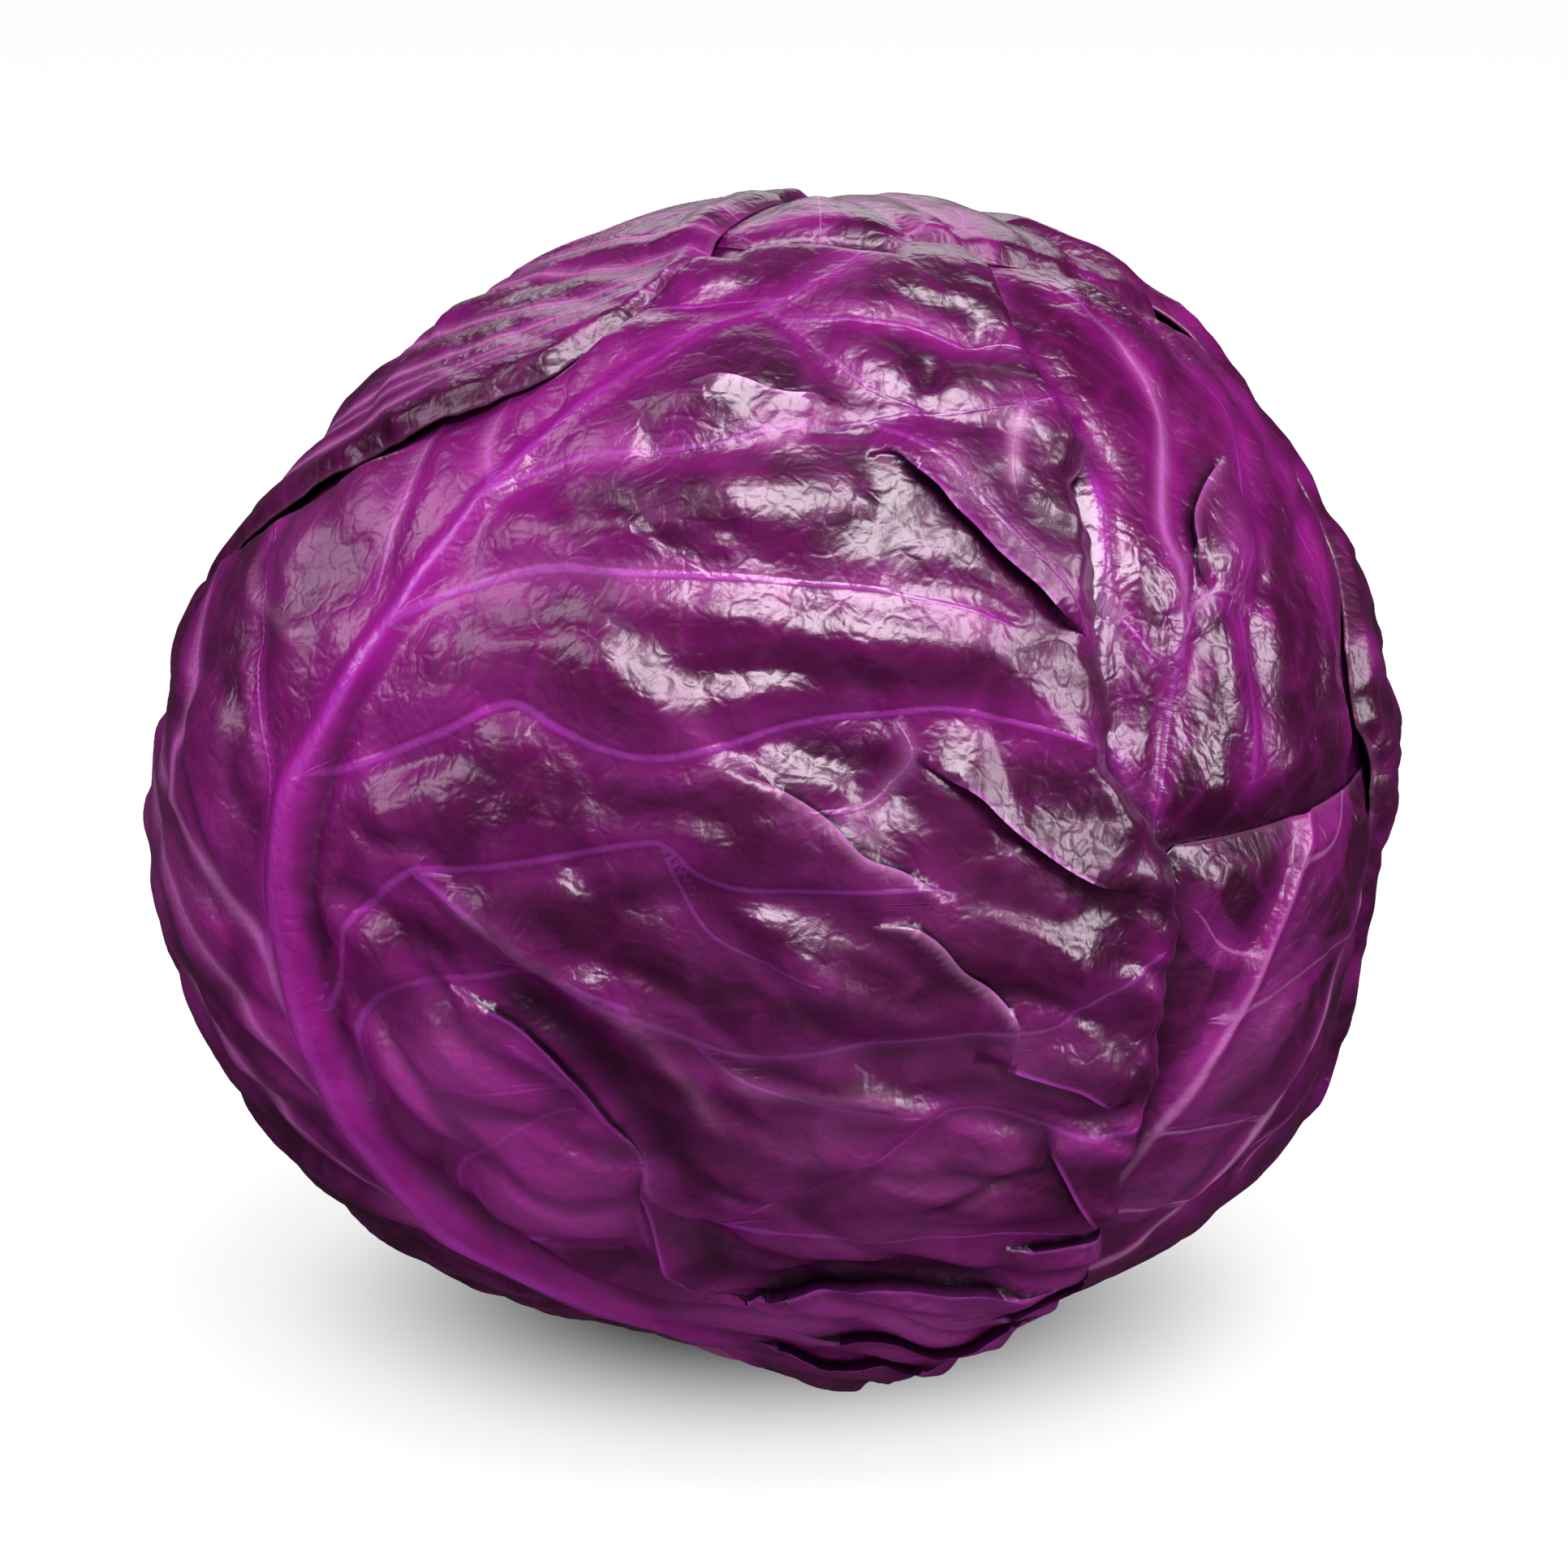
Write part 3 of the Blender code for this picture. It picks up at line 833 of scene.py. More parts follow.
            Mark(LIP, 2.0, 0.5, ((25.6, -22.5), (25.6, -30), (26.3, -35), (29, -39)), deep=0.6),
            Mark(RIDGE, 1.4, 1.0, ((32.5, -11.8), (36, -14), (40, -14.6), (45, -14.3), (50, -15.2)),
                 pale=0.3),
            Mark(LIP, 1.6, 0.4, ((58, -47), (52, -50), (45, -51), (38, -49.5), (33, -47)), deep=0.9),
            Mark(LIP, 1.4, 0.4, ((47, -56), (41, -57), (33, -55.5), (26, -52)), deep=0.9),
            Mark(LIP, 1.3, 0.4, ((64, -42), (60, -44.5), (56, -45), (51, -44.5)), deep=0.8),
            Mark(LIP, 1.4, 0.4, ((68, -39.0), (62, -37.2), (55, -35.4)), deep=1.0),
            Mark(RIDGE, 1.6, 1.1, ((8, 1), (14, -2), (20, -4.8), (26, -8), (30.5, -10)), pale=0.3),
            Mark(LIP, 1.6, 0.8, ((54, -10.6), (56, -11), (59.5, -12.5), (63, -14.5), (66, -17.5), (68, -19)),
                 deep=0.9),
            Mark(LIP, 2.4, 0.5, ((60, -43.5), (54, -41), (50, -39.5), (46, -38.4), (41, -38.2), (35, -39.2),
                 (31, -40.4), (27, -41)), deep=1.0),
            Mark(GROOVE, 2.5, 1.8, ((57, -41.0), (53, -39.2), (47, -36.9), (41, -36.6), (35, -37.8),
                 (30, -39.6)), deep=1.0),
            Mark(LIP, 1.6, 0.8, ((60, -19.5), (62, -26), (63, -30), (65.5, -37)), deep=0.8),
            Mark(GROOVE, 0.6, 0.5, ((48, -28.5), (53, -26.5), (57, -25), (62, -26)), deep=0.8),
            Mark(GROOVE, 1.6, 3.0, ((11, -6.6), (17, -7.4), (21.5, -10.5), (26, -15.5), (28.8, -20.5),
                 (30.5, -25)), deep=0.9),
            Mark(GROOVE, 0.8, 1.0, ((1, 22), (-2.5, 15), (-5.3, 7), (-5.8, 0), (-4.3, -9), (-2.3, -16),
                 (0.8, -24), (5.8, -31), (12, -36), (19, -41)), deep=0.6),
            Mark(GROOVE, 0.6, 0.8, ((-10, 8), (-11.3, 0), (-11.3, -7), (-10.5, -15), (-8.5, -25), (-3.5, -33),
                 (2.5, -42), (9, -48)), deep=0.55),
            Mark(GROOVE, 0.7, 1.2, ((31, 59), (34, 58), (37.5, 55.5), (40, 52)), deep=0.6),
            Mark(GROOVE, 0.6, 0.5, ((30.5, 45), (33, 46.6), (37, 47.2)), deep=0.8),
            Mark(GROOVE, 0.5, 0.6, ((15, 36), (20, 34), (26, 31.8), (31, 32)), deep=0.8),
            Mark(GROOVE, 0.8, 1.6, ((24, 21), (29, 22), (35, 23.5), (42, 23.5), (48, 24.5)), deep=0.5),
        ),
        spots=(
            Spot(17, 36, 5, 2.6, 10, -1.0, deep=0.55), Spot(12, 32.3, 6, 2.2, -14, 0.7),
            Spot(27, 37, 6, 4, 5, 1.0),
            Spot(-17, 27, 7, 5, 60, 1.6, bloom_and_sheen=0.35), Spot(-9, 25, 3, 3.5, 0, -1.2, deep=0.45),
            Spot(24, 19.5, 6, 2.4, -25, 1.3),
            Spot(33.5, 13.6, 2.6, 1.3, -25, 1.0), Spot(60, 19, 7, 4, -20, 0.9), Spot(50, 14, 3, 2, -30, 1.0),
            Spot(60, 1.5, 4.5, 4, -20, 1.8), Spot(18, 46, 8, 2.6, 5, 0.8),
            Spot(14, 22, 6, 2, 0, 0.6), Spot(48, 27, 6, 2.2, -5, 0.8),
            Spot(40, 21, 9, 2.4, 5, -0.7, deep=0.5),
            Spot(22, 10, 10, 3, 0, -0.8, deep=0.35), Spot(40, 17.2, 5, 2.0, -8, -1.7, deep=0.85),
            Spot(46, 14, 5.5, 2.2, -30, -1.3, deep=0.7), Spot(14, -2.5, 8, 1.6, -20, -0.8, deep=0.5),
            Spot(38, -5, 8, 3, -5, -0.8, deep=0.45), Spot(36, -17, 7, 3, 0, -0.5, deep=0.3),
            Spot(10, -14, 6, 5, 0, 1.2, bloom_and_sheen=0.45),
            Spot(18, -26, 8, 5, 10, 1.3, bloom_and_sheen=0.5), Spot(50, -24, 10, 4, 10, 0.4, bloom_and_sheen=0.45),
            Spot(58, -14, 8, 4, 0, 0.5, bloom_and_sheen=0.4),
            Spot(30, 68, 6, 3, -20, 0.9), Spot(22, 63, 7, 3, 0, 0.7),
            Spot(-40, -5, 16, 10, 0, 0.4, bloom_and_sheen=0.5), Spot(66, 13, 3, 2, -40, 0.8),
            Spot(0, 30, 36, 12, 75, bright=0.55), Spot(10, -17, 14, 10, 0, bright=0.5),
            Spot(-12, -14, 26, 7, -60, bright=0.6),
            Spot(34, 3, 24, 13, -10, deep=0.60), Spot(57, -12, 9, 5, -15, deep=0.55),
            Spot(44, 15, 12, 5, -14, deep=0.62), Spot(20, 6, 9, 4, -10, deep=0.4),
            Spot(51, 43, 13, 5.5, -52, deep=0.75),
            Spot(44, -34, 22, 7, 0, deep=0.12), Spot(44, -46, 22, 8, 0, bright=0.9, bloom_and_sheen=0.7),
            Spot(19, -0.5, 9, 2.2, -22, -0.9, deep=0.6), Spot(6.5, -3.5, 4, 2, -25, -0.5, deep=0.5),
            Spot(30.5, -33, 6, 2.4, -65, -1.2, deep=0.75), Spot(36, -12.2, 4.5, 1.2, -12, -0.5, deep=0.75),
            Spot(41, -4, 7, 2.2, -25, 1.6, bloom_and_sheen=0.3), Spot(34, -5, 4, 3, -60, -0.9, deep=0.65),
            Spot(9, -18, 9, 6, -10, 1.0, bright=0.9, bloom_and_sheen=0.5),
            Spot(17, -27, 8, 6, -10, 1.0, bright=0.9, bloom_and_sheen=0.5),
            Spot(46, -31, 9, 2.4, 5, 0.9, bloom_and_sheen=0.6), Spot(40, -20, 9, 4, 10, 0.5, bloom_and_sheen=0.3),
            Spot(62, -36.6, 3.6, 0.9, -17, -0.7, deep=1.0),
        ),
        swell=2.2, valley_width=3.3, curl=((-80, 0.1), (0, 0.2), (20, 0.5), (60, 0.8), (70, 0.2), (82, 0.0)),
        crumple=0.8, grain=(-24.0, 0.0), rows=278, columns=278, left_share=0.36, seed=14,
    ),
    Leaf(
        "back_leaf", "outer_leaf", Chart(180, 15), BACK_LEFT, BACK_RIGHT, BACK_MIDRIB,
        rib=((-90, 1.0), (-65, 3.0), (-20, 1.8), (40, 0.8), (70, 0.2), (90, 0.0)), rib_width=RIB_WIDTH,
        marks=fan(BACK_LEFT, BACK_RIGHT, BACK_MIDRIB, (-62, -40, -18, 4, 24, 44, 62), 22, 5) + (
            Mark(VEIN, 0.4, 0.4, ((42, 66), (30, 76), (18, 83), (8, 85), (0, 87), (-8, 86)), pale=0.6),
            Mark(VEIN, 0.4, 0.4, ((34, 66), (22, 76), (10, 80), (-2, 78)), pale=0.6),
            Mark(VEIN, 0.3, 0.4, ((-6, 72), (-12, 80), (-18, 86), (-19, 92)), pale=0.4),
            Mark(VEIN, 0.3, 0.4, ((-16, 70), (-22, 76), (-28, 80)), pale=0.5),
        ),
        swell=1.4, crumple=0.5, curl=((-90, 0.2), (20, 0.1), (80, 0.0), (90, 0.0)),
        rows=210, columns=200, seed=15,
    ),
    Leaf(
        "back_right_leaf", "outer_leaf", Chart(120, 5), FAR_RIGHT_LEFT, FAR_RIGHT_RIGHT, FAR_RIGHT_MIDRIB,
        rib=((-80, 1.0), (-58, 2.8), (-10, 1.5), (30, 0.6), (60, 0.0)), rib_width=RIB_WIDTH,
        marks=fan(FAR_RIGHT_LEFT, FAR_RIGHT_RIGHT, FAR_RIGHT_MIDRIB, (-56, -40, -24, -8, 8, 24), 20, 7),
        swell=1.4, crumple=0.5, curl=((-80, 0.1), (-20, 0.2), (10, 0.5), (60, 0.0)), ruffle=1.1,
        rows=190, columns=180, seed=16,
    ),
    Leaf(
        "left_back_leaf", "outer_leaf", Chart(-125, 15), FAR_LEFT_LEFT, FAR_LEFT_RIGHT, FAR_LEFT_MIDRIB,
        rib=((-90, 1.0), (-66, 3.0), (-20, 1.8), (40, 0.8), (70, 0.2), (76, 0.0)), rib_width=RIB_WIDTH,
        marks=fan(FAR_LEFT_LEFT, FAR_LEFT_RIGHT, FAR_LEFT_MIDRIB, (-60, -40, -22), 24, 9) + (
            Mark(VEIN, 0.5, 0.5, ((-2, -10), (12, 4), (22, 15), (32, 24), (38, 34), (42, 46), (42, 58)),
                 pale=0.6, thin=0.2),
            Mark(VEIN, 0.5, 0.5, ((0, 4), (12, 16), (24, 27), (32, 38), (36, 50), (36, 62), (33, 72)),
                 pale=0.6, thin=0.2),
            Mark(VEIN, 0.4, 0.4, ((14, 17), (28, 28), (36, 40), (40, 52), (40, 64)), pale=0.4, thin=0.2),
            Mark(VEIN, 0.5, 0.5, ((1, 16), (12, 30), (22, 42), (29, 54), (31, 66), (28, 76)),
                 pale=0.6, thin=0.2),
            Mark(VEIN, 0.4, 0.4, ((3, 30), (12, 44), (20, 56), (24, 68), (22, 78)), pale=0.5, thin=0.2),
            Mark(VEIN, 0.4, 0.4, ((6, 44), (14, 58), (18, 70), (18, 80)), pale=0.4, thin=0.2),
            Mark(VEIN, 0.5, 0.5, ((-5, -14), (-16, -4), (-27, 10), (-34, 26)), pale=0.3),
            Mark(VEIN, 0.5, 0.5, ((-3, 6), (-14, 20), (-24, 34), (-31, 50)), pale=0.3),
            Mark(VEIN, 0.5, 0.5, ((0, 26), (-10, 42), (-18, 56), (-20, 66)), pale=0.3),
        ),
        swell=1.3, crumple=0.3, grain=(50, 0.0), valley_width=3.2,
        curl=((-90, 0.1), (0, 0.8), (20, 1.6), (48, 1.2), (58, 0.3), (66, 0.0), (76, 0.0)),
        rows=210, columns=200, left_share=0.42, seed=17,
    ),
)


# ---------------------------------------------------------------- meshes


def put_attribute(mesh: bpy.types.Mesh, name: str, kind: str, values: Array) -> None:
    """Stores one value or colour for each vertex under the given name."""
    key = "color" if kind == "FLOAT_COLOR" else "value"
    mesh.attributes.new(name, kind, "POINT").data.foreach_set(key, values.astype(np.float32).ravel())


def make_piece(
    name: str, places: Array, faces: list[Array], uv: Array | None = None, edge: Array | None = None
) -> bpy.types.Object:
    """Object made from vertex places and arrays of quads or triangles.

    Args:
        name: the piece's name.
        places: one row of x, y, z for each vertex.
        faces: arrays of vertex numbers, one row for each face.
        uv: one row of u, v for each vertex, for a UV map.
        edge: a number for each vertex; an edge between two vertices of the same number is sharp,
            unless it is 0.

    Returns:
        The smooth-shaded object, at the origin.
    """
    mesh = bpy.data.meshes.new(name)
    rows = [row for block in faces for row in block.tolist()]
    mesh.from_pydata(places.tolist(), [], rows)
    mesh.shade_smooth()
    if uv is not None:
        corner = np.empty(len(mesh.loops), int)
        mesh.loops.foreach_get("vertex_index", corner)
        mesh.uv_layers.new(name="chart").data.foreach_set("uv", uv[corner].astype(np.float32).ravel())
    if edge is not None:
        ends = np.empty(2 * len(mesh.edges), int)
        mesh.edges.foreach_get("vertices", ends)
        first, second = edge[ends.reshape(-1, 2)].T
        sharp = (first == second) & (first > 0)
        mesh.attributes.new("sharp_edge", "BOOLEAN", "EDGE").data.foreach_set("value", sharp)
    made = bpy.data.objects.new(name, mesh)
    bpy.context.scene.collection.objects.link(made)
    return made


def grid_quads(rows: int, columns: int, first: int = 0) -> Array:
    """Quads of a grid of rows by columns cells, turning anticlockwise."""
    a = (first + np.arange(rows)[:, None] * (columns + 1) + np.arange(columns)).ravel()
    return np.stack([a, a + 1, a + columns + 2, a + columns + 1], axis=1)


def split_quads(quads: Array, high: Array) -> list[Array]:
    """Splits the quads with one corner across a lip's edge, so that no triangle bridges the edge.

    Args:
        quads: vertex numbers, four to a row.
        high: whether each vertex lies on the high side.

    Returns:
        The whole quads, then the two triangles of each split one.
    """
    up = high[quads]
    count = up.sum(axis=1)
    odd = (count == 1) | (count == 3)
    corner = np.argmax(up[odd] == (count[odd] == 1)[:, None], axis=1)
    turned = np.take_along_axis(quads[odd], (corner[:, None] + np.arange(4)) % 4, axis=1)
    return [quads[~odd], turned[:, [0, 1, 3]], turned[:, [1, 2, 3]]]


def grid_rim(rows: int, columns: int, first: int = 0) -> Array:
    """Vertex numbers round a grid's edge, anticlockwise from its first corner."""
    n = first + np.arange((rows + 1) * (columns + 1)).reshape(rows + 1, columns + 1)
    return np.concatenate([n[0, :-1], n[:-1, -1], n[-1, :0:-1], n[:0:-1, 0]])


def closed_rings(rings: int, columns: int) -> list[Array]:
    """Faces of rings one above the other, each row turned against the next, and of both caps.

    The vertices are numbered ring by ring from below, with the lower pole and then the upper
    pole after them.

    Args:
        rings: number of rings.
        columns: vertices in a ring.

    Returns:
        The quads of the wall, then the triangles of the lower and of the upper cap.
    """
    n = np.arange(rings * columns).reshape(rings, columns)
    right = np.roll(n, -1, axis=1)
    walls = np.stack([n[:-1], right[:-1], right[1:], n[1:]], axis=-1).reshape(-1, 4)
    lower = np.stack([right[0], n[0], np.full(columns, n.size)], axis=1)
    upper = np.stack([n[-1], right[-1], np.full(columns, n.size + 1)], axis=1)
    return [walls, lower, upper]


@dataclass
class Skin:
    """A leaf's outer face on its grid, with one value for each vertex."""

    shape: tuple[int, int]  # rows and columns of vertices
    x: Array  # chart places
    y: Array
    ways: Array  # unit directions, with lips leaning over their low side
    inside: Array  # degrees inside the margin
    shown: Array  # 1 where no later leaf lies over this one
    beside: Array  # how deep in the gap beside a covering margin, which sets the painted shadow there
    crown: Array  # 1 round the top of the head, falling to 0 below it
    form: Form
    crease: Array  # painted shade: how dark the creases of the folds are painted
    bed: Array  # radius of what lies beneath
    blade: Array  # thickness
    rib: Array  # height of the midrib
    outer: Array  # radius of the outer face

    def halved(self, values: Array) -> Array:
        """Values at every second row and column, which are the inner face's places."""
        return values.reshape(*self.shape, -1)[::2, ::2].reshape(-1, *values.shape[1:])

    def both(self, values: Array) -> Array:
        """Values of the outer vertices, then those of the inner ones."""
        return np.concatenate([values, self.halved(values)])


@dataclass
class WrappedLeaves:
    """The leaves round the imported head, each draped over all before it in the list."""

    leaves: tuple[Leaf, ...] = LEAVES
    blade: float = 0.0009
    gap: float = 0.00040
    cover_margin: float = 0.6  # degrees past a leaf's margin that the next one stays lifted
    cover_ramp: float = 6.0
    hidden: float = 5.0  # degrees outside a covering margin over which folds come back
    foot: tuple[float, float] = (-79.0, 13.0)  # elevation where folds start, and their ease
    crown: tuple[float, float] = (48.0, 14.0)  # elevation where the crown starts, and its ease
    plain_lift: float = 0.35  # millimetres that every free blade stands off its bed
    margin_share: float = 0.35  # share of the blade's thickness left at its margin
    margin_dip: tuple[float, float] = (0.2, 0.3)  # millimetres a margin lies down, more at the crown
    full_rib: float = 2.2 * MM  # height at which a rib has its full colour

    def bed(self, index: int, d: Array) -> Array:
        """Radius that a leaf's inner face lies at: the packing, lifted over each leaf beneath.

        Args:
            index: place of the leaf in the list.
            d: unit directions.

        Returns:
            One radius for each direction.
        """
        lift = np.zeros(len(d))
        for leaf in self.leaves[:index]:
            lift += 1 - smoothstep((leaf.past(d) - self.cover_margin) / self.cover_ramp)
        return PACKING.reach(d) + self.gap + lift * (self.blade + self.gap)

    def shown(self, index: int, d: Array) -> tuple[Array, Array]:
        """How far a leaf is free of the leaves over it.

        Args:
            index: place of the leaf in the list.
            d: unit directions.

        Returns:
            1 where no later leaf lies over this one, falling to 0 at their margins, and how deep
            in the gap beside such a margin a place is, from 0 to 1, which sets the painted shadow there.
        """
        free, gap = np.ones(len(d)), np.zeros(len(d))
        for leaf in self.leaves[index + 1 :]:
            past = leaf.past(d)
            free *= smoothstep(past / self.hidden)
            gap = np.maximum(gap, np.exp(-((np.maximum(past - 0.4, 0) / 1.5) ** 2)))
        return free, gap

    def outline(self, leaf: Leaf, along: Array, across: Array) -> tuple[Array, Array, Array]:
        """Chart places of the leaf's grid.

        A row spans from the left margin over the midrib to the right margin. The margins wave a
        little: their distance from the midrib grows and shrinks by sines of the row.

        Args:
            leaf: the leaf.
            along: 0 at the base to 1 at the tip, one for each vertex.
            across: -1 at the left margin, 0 at the midrib, 1 at the right margin.

        Returns:
            x, y and the degrees inside the margin.
        """
        base, tip = leaf.ends()
        y = base + (tip - base) * along
        middle = through(leaf.midrib, y)
        random = np.random.default_rng(leaf.seed)
        wave = sum(
            np.sin(y * 2 * np.pi / size + random.uniform(0, 6) + (across > 0) * random.uniform(1, 5)) * share
            for size, share in ((19.0, 0.5), (8.3, 0.3), (3.7, 0.2))
        )
        side = np.where(across < 0, middle - through(leaf.left, y), through(leaf.right, y) - middle)
        side = side + leaf.ruffle * wave * smoothstep(np.minimum(y - base, tip - y) / 6)
        x = middle + side * across
        inside = np.minimum(side * (1 - np.abs(across)), np.minimum(y - base, tip - y))
        return x, y, np.maximum(inside, 0)

    def across(self, leaf: Leaf) -> Array:
        """Column places from -1 to 1, split at the midrib as the leaf says.

        Args:
            leaf: the leaf.

        Returns:
            One place for each column of vertices, evenly spaced on either side of the midrib.
        """
        left = 2 * round(leaf.columns * leaf.left_share / 2)
        right = np.linspace(0, 1, leaf.columns - left + 1)
        return np.concatenate([np.linspace(-1, 0, left + 1)[:-1], right])

    def skin(self, index: int) -> Skin:
        """Works out a leaf's outer face.

        It lies at the bed's radius plus the leaf's form, its blade and its rib; the blade thins
        towards the margin, where it also lies down a little.

        Args:
            index: place of the leaf in the list.

        Returns:
            The outer face on its grid.
        """
        leaf = self.leaves[index]
        shape = (leaf.rows + 1, leaf.columns + 1)
        grid = np.meshgrid(np.linspace(0, 1, shape[0]), self.across(leaf), indexing="ij")
        x, y, inside = self.outline(leaf, *(v.ravel() for v in grid))
        x, y = leaf.snap(x, y, shape)
        d = leaf.chart.point(x, y)
        shown, beside = self.shown(index, d)
        elevation = np.degrees(np.arcsin(d[:, 2]))
        free = shown * smoothstep((elevation - self.foot[0]) / self.foot[1])
        form = leaf.form(x, y, free)
        # a broad and a smaller swing of the whole blade
        swing = waves(d, 13, leaf.seed) * 0.35 + waves(d, 6, leaf.seed + 50) * 0.16
        curl = through(leaf.curl, y) * (0.75 + 0.4 * waves(d, 9, leaf.seed + 20)) * np.exp(-inside / 1.8)
        crumple, crease = leaf.crumpled(x, y)
        lift = form.lift + (swing + crumple + self.plain_lift) * free
        lift = lift * smoothstep((inside + 0.6) / 3.6) + np.maximum(curl, 0) * free
        lift = np.maximum(lift, 0.0) * MM
        bed = self.bed(index, d)
        blade = self.blade * (self.margin_share + (1 - self.margin_share) * smoothstep(inside / 4))
        rib = leaf.rib_height(x, y)
        crown = smoothstep((elevation - self.crown[0]) / self.crown[1])
        dip = (self.margin_dip[0] + self.margin_dip[1] * crown) * MM * np.exp(-inside / 1.2)
        outer = bed + lift + blade + rib - dip
        ways = leaf.chart.point(x + form.shift_x, y + form.shift_y)
        return Skin(shape, x, y, ways, inside, shown, beside, crown, form, crease, bed, blade, rib, outer)

    def inner(self, skin: Skin) -> Array:
        """Radius of a leaf's inner face.

        It stays one blade under the lowest outer point within two cells, and never under the bed
        unless the outer face does.

        Args:
            skin: the outer face.

        Returns:
            One radius for each vertex of the outer face.
        """
        rows, columns = skin.shape
        low, blade = skin.outer.reshape(skin.shape), skin.blade.reshape(skin.shape)
        padded = np.pad(low, 2, mode="edge")
        around = [padded[i : i + rows, j : j + columns] for i in range(5) for j in range(5)]
        floor = np.minimum.reduce(around)
        floor[:, [0, -1]] = low[:, [0, -1]]
        floor[[0, -1], :] = low[[0, -1], :]
        return np.maximum(floor - blade, np.minimum(skin.bed.reshape(skin.shape), low - blade)).ravel()

    def mesh(self, name: str, skin: Skin) -> bpy.types.Object:
        """Closes a leaf: its fine outer face, an inner face of half as many cells, and the rim.

        Args:
            name: the piece's name.
            skin: the outer face.

        Returns:
            The leaf's object, with its chart as UV map.
        """
        rows, columns = skin.shape[0] - 1, skin.shape[1] - 1
        places = CENTRE + skin.ways * skin.outer[:, None]
        inner = CENTRE + skin.halved(skin.ways) * skin.halved(self.inner(skin))[:, None]
        count = len(places)
        back = grid_quads(rows // 2, columns // 2, count)[:, ::-1]
        far, close = grid_rim(rows, columns), grid_rim(rows // 2, columns // 2, count)
        o0, o1, o2 = far[0::2], far[1::2], np.roll(far, -2)[0::2]
        i0, i1 = close, np.roll(close, -1)
        rim = [np.stack(three, axis=1) for three in ((o1, o0, i0), (o2, o1, i1), (o1, i0, i1))]
        uv = skin.both(np.stack([skin.x, skin.y], axis=1) / 180 + 0.5)
        high, close_by = skin.form.crease > -EDGE, np.abs(skin.form.crease) < 4 * EDGE
        front = split_quads(grid_quads(rows, columns), high)
        edge = np.concatenate([np.where(close_by, np.where(high, 1, 2), 0), np.zeros(len(inner), int)])
        return make_piece(name, np.concatenate([places, inner]), [*front, back, *rim], uv, edge)

    def dress(self, mesh: bpy.types.Mesh, skin: Skin) -> None:
        """Stores what the finish reads: where veins and creases lie, and how the skin is painted.

        Args:
            mesh: the leaf's mesh.
            skin: its outer face.
        """
        form = skin.form
        on_rib = smoothstep(skin.rib / self.full_rib)
        bright = np.maximum(form.bright, 0.8 * on_rib)
        lines = {"line": form.line, "across": form.across, "along": form.along, "crease": form.crease}
        for name, values in {**lines, "bright": bright}.items():
            put_attribute(mesh, name, "FLOAT", skin.both(values))
        # whitish veins and margins with painted highlights on lip edges; painted shade in folds, creases,
        # under lips and in the gaps beside covering margins; and whitish bloom with painted sheen
        pale = np.maximum(form.pale * skin.shown, 0.12 * np.exp(-skin.inside / 0.3))
        gap = skin.beside * (1 - 0.85 * skin.crown)
        deep = np.maximum(np.maximum(form.deep * skin.shown, skin.crease), 0.75 * gap)
        bloom_and_sheen = form.bloom_and_sheen * (1 - 0.8 * on_rib)
        paint = skin.both(np.stack([pale, deep, bloom_and_sheen, form.near], axis=1))
        put_attribute(mesh, "paint", "FLOAT_COLOR", paint)

    def build(self, index: int) -> bpy.types.Object:
        """Makes one leaf.

        Args:
            index: place of the leaf in the list.

        Returns:
            The leaf's object.
        """
        leaf = self.leaves[index]
        skin = self.skin(index)
        made = self.mesh(leaf.name + "_blade", skin)
        self.dress(made.data, skin)
        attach(made, "root")
        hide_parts(leaf.name)
        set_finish(made, leaf.slot)
        LOG.info("%s: %d faces", made.name, len(made.data.polygons))
        return made

    def build_all(self) -> list[bpy.types.Object]:
        """Makes every leaf in turn and returns them."""
        return [self.build(index) for index in range(len(self.leaves))]


@dataclass
class Heart:
    """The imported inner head, which shows only between the leaf bases round the stem."""

    rows: int = 90
    columns: int = 180

    def build(self) -> bpy.types.Object:
        """Ball of the packing's radius on a grid of longitude and latitude, flat at its foot.

        Returns:
            The closed object; both poles are single vertices.
        """
        tilt = np.linspace(-90, 90, self.rows + 1)[1:-1]
        turn = np.arange(self.columns) * 360 / self.columns
        e, a = (np.radians(v).ravel() for v in np.meshgrid(tilt, turn, indexing="ij"))
        d = np.stack([np.sin(a) * np.cos(e), -np.cos(a) * np.cos(e), np.sin(e)], axis=1)
        d = np.concatenate([d, [[0, 0, -1.0], [0, 0, 1.0]]])
        places = CENTRE + d * PACKING.reach(d)[:, None]
        places[:, 2] = np.maximum(places[:, 2], PACKING.floor)
        made = make_piece("packed_heart", places, closed_rings(self.rows - 1, self.columns))
        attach(made, "root")
        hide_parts("inner_head")
        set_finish(made, "inner_leaf")
        LOG.info("%s: %d faces", made.name, len(made.data.polygons))
        return made


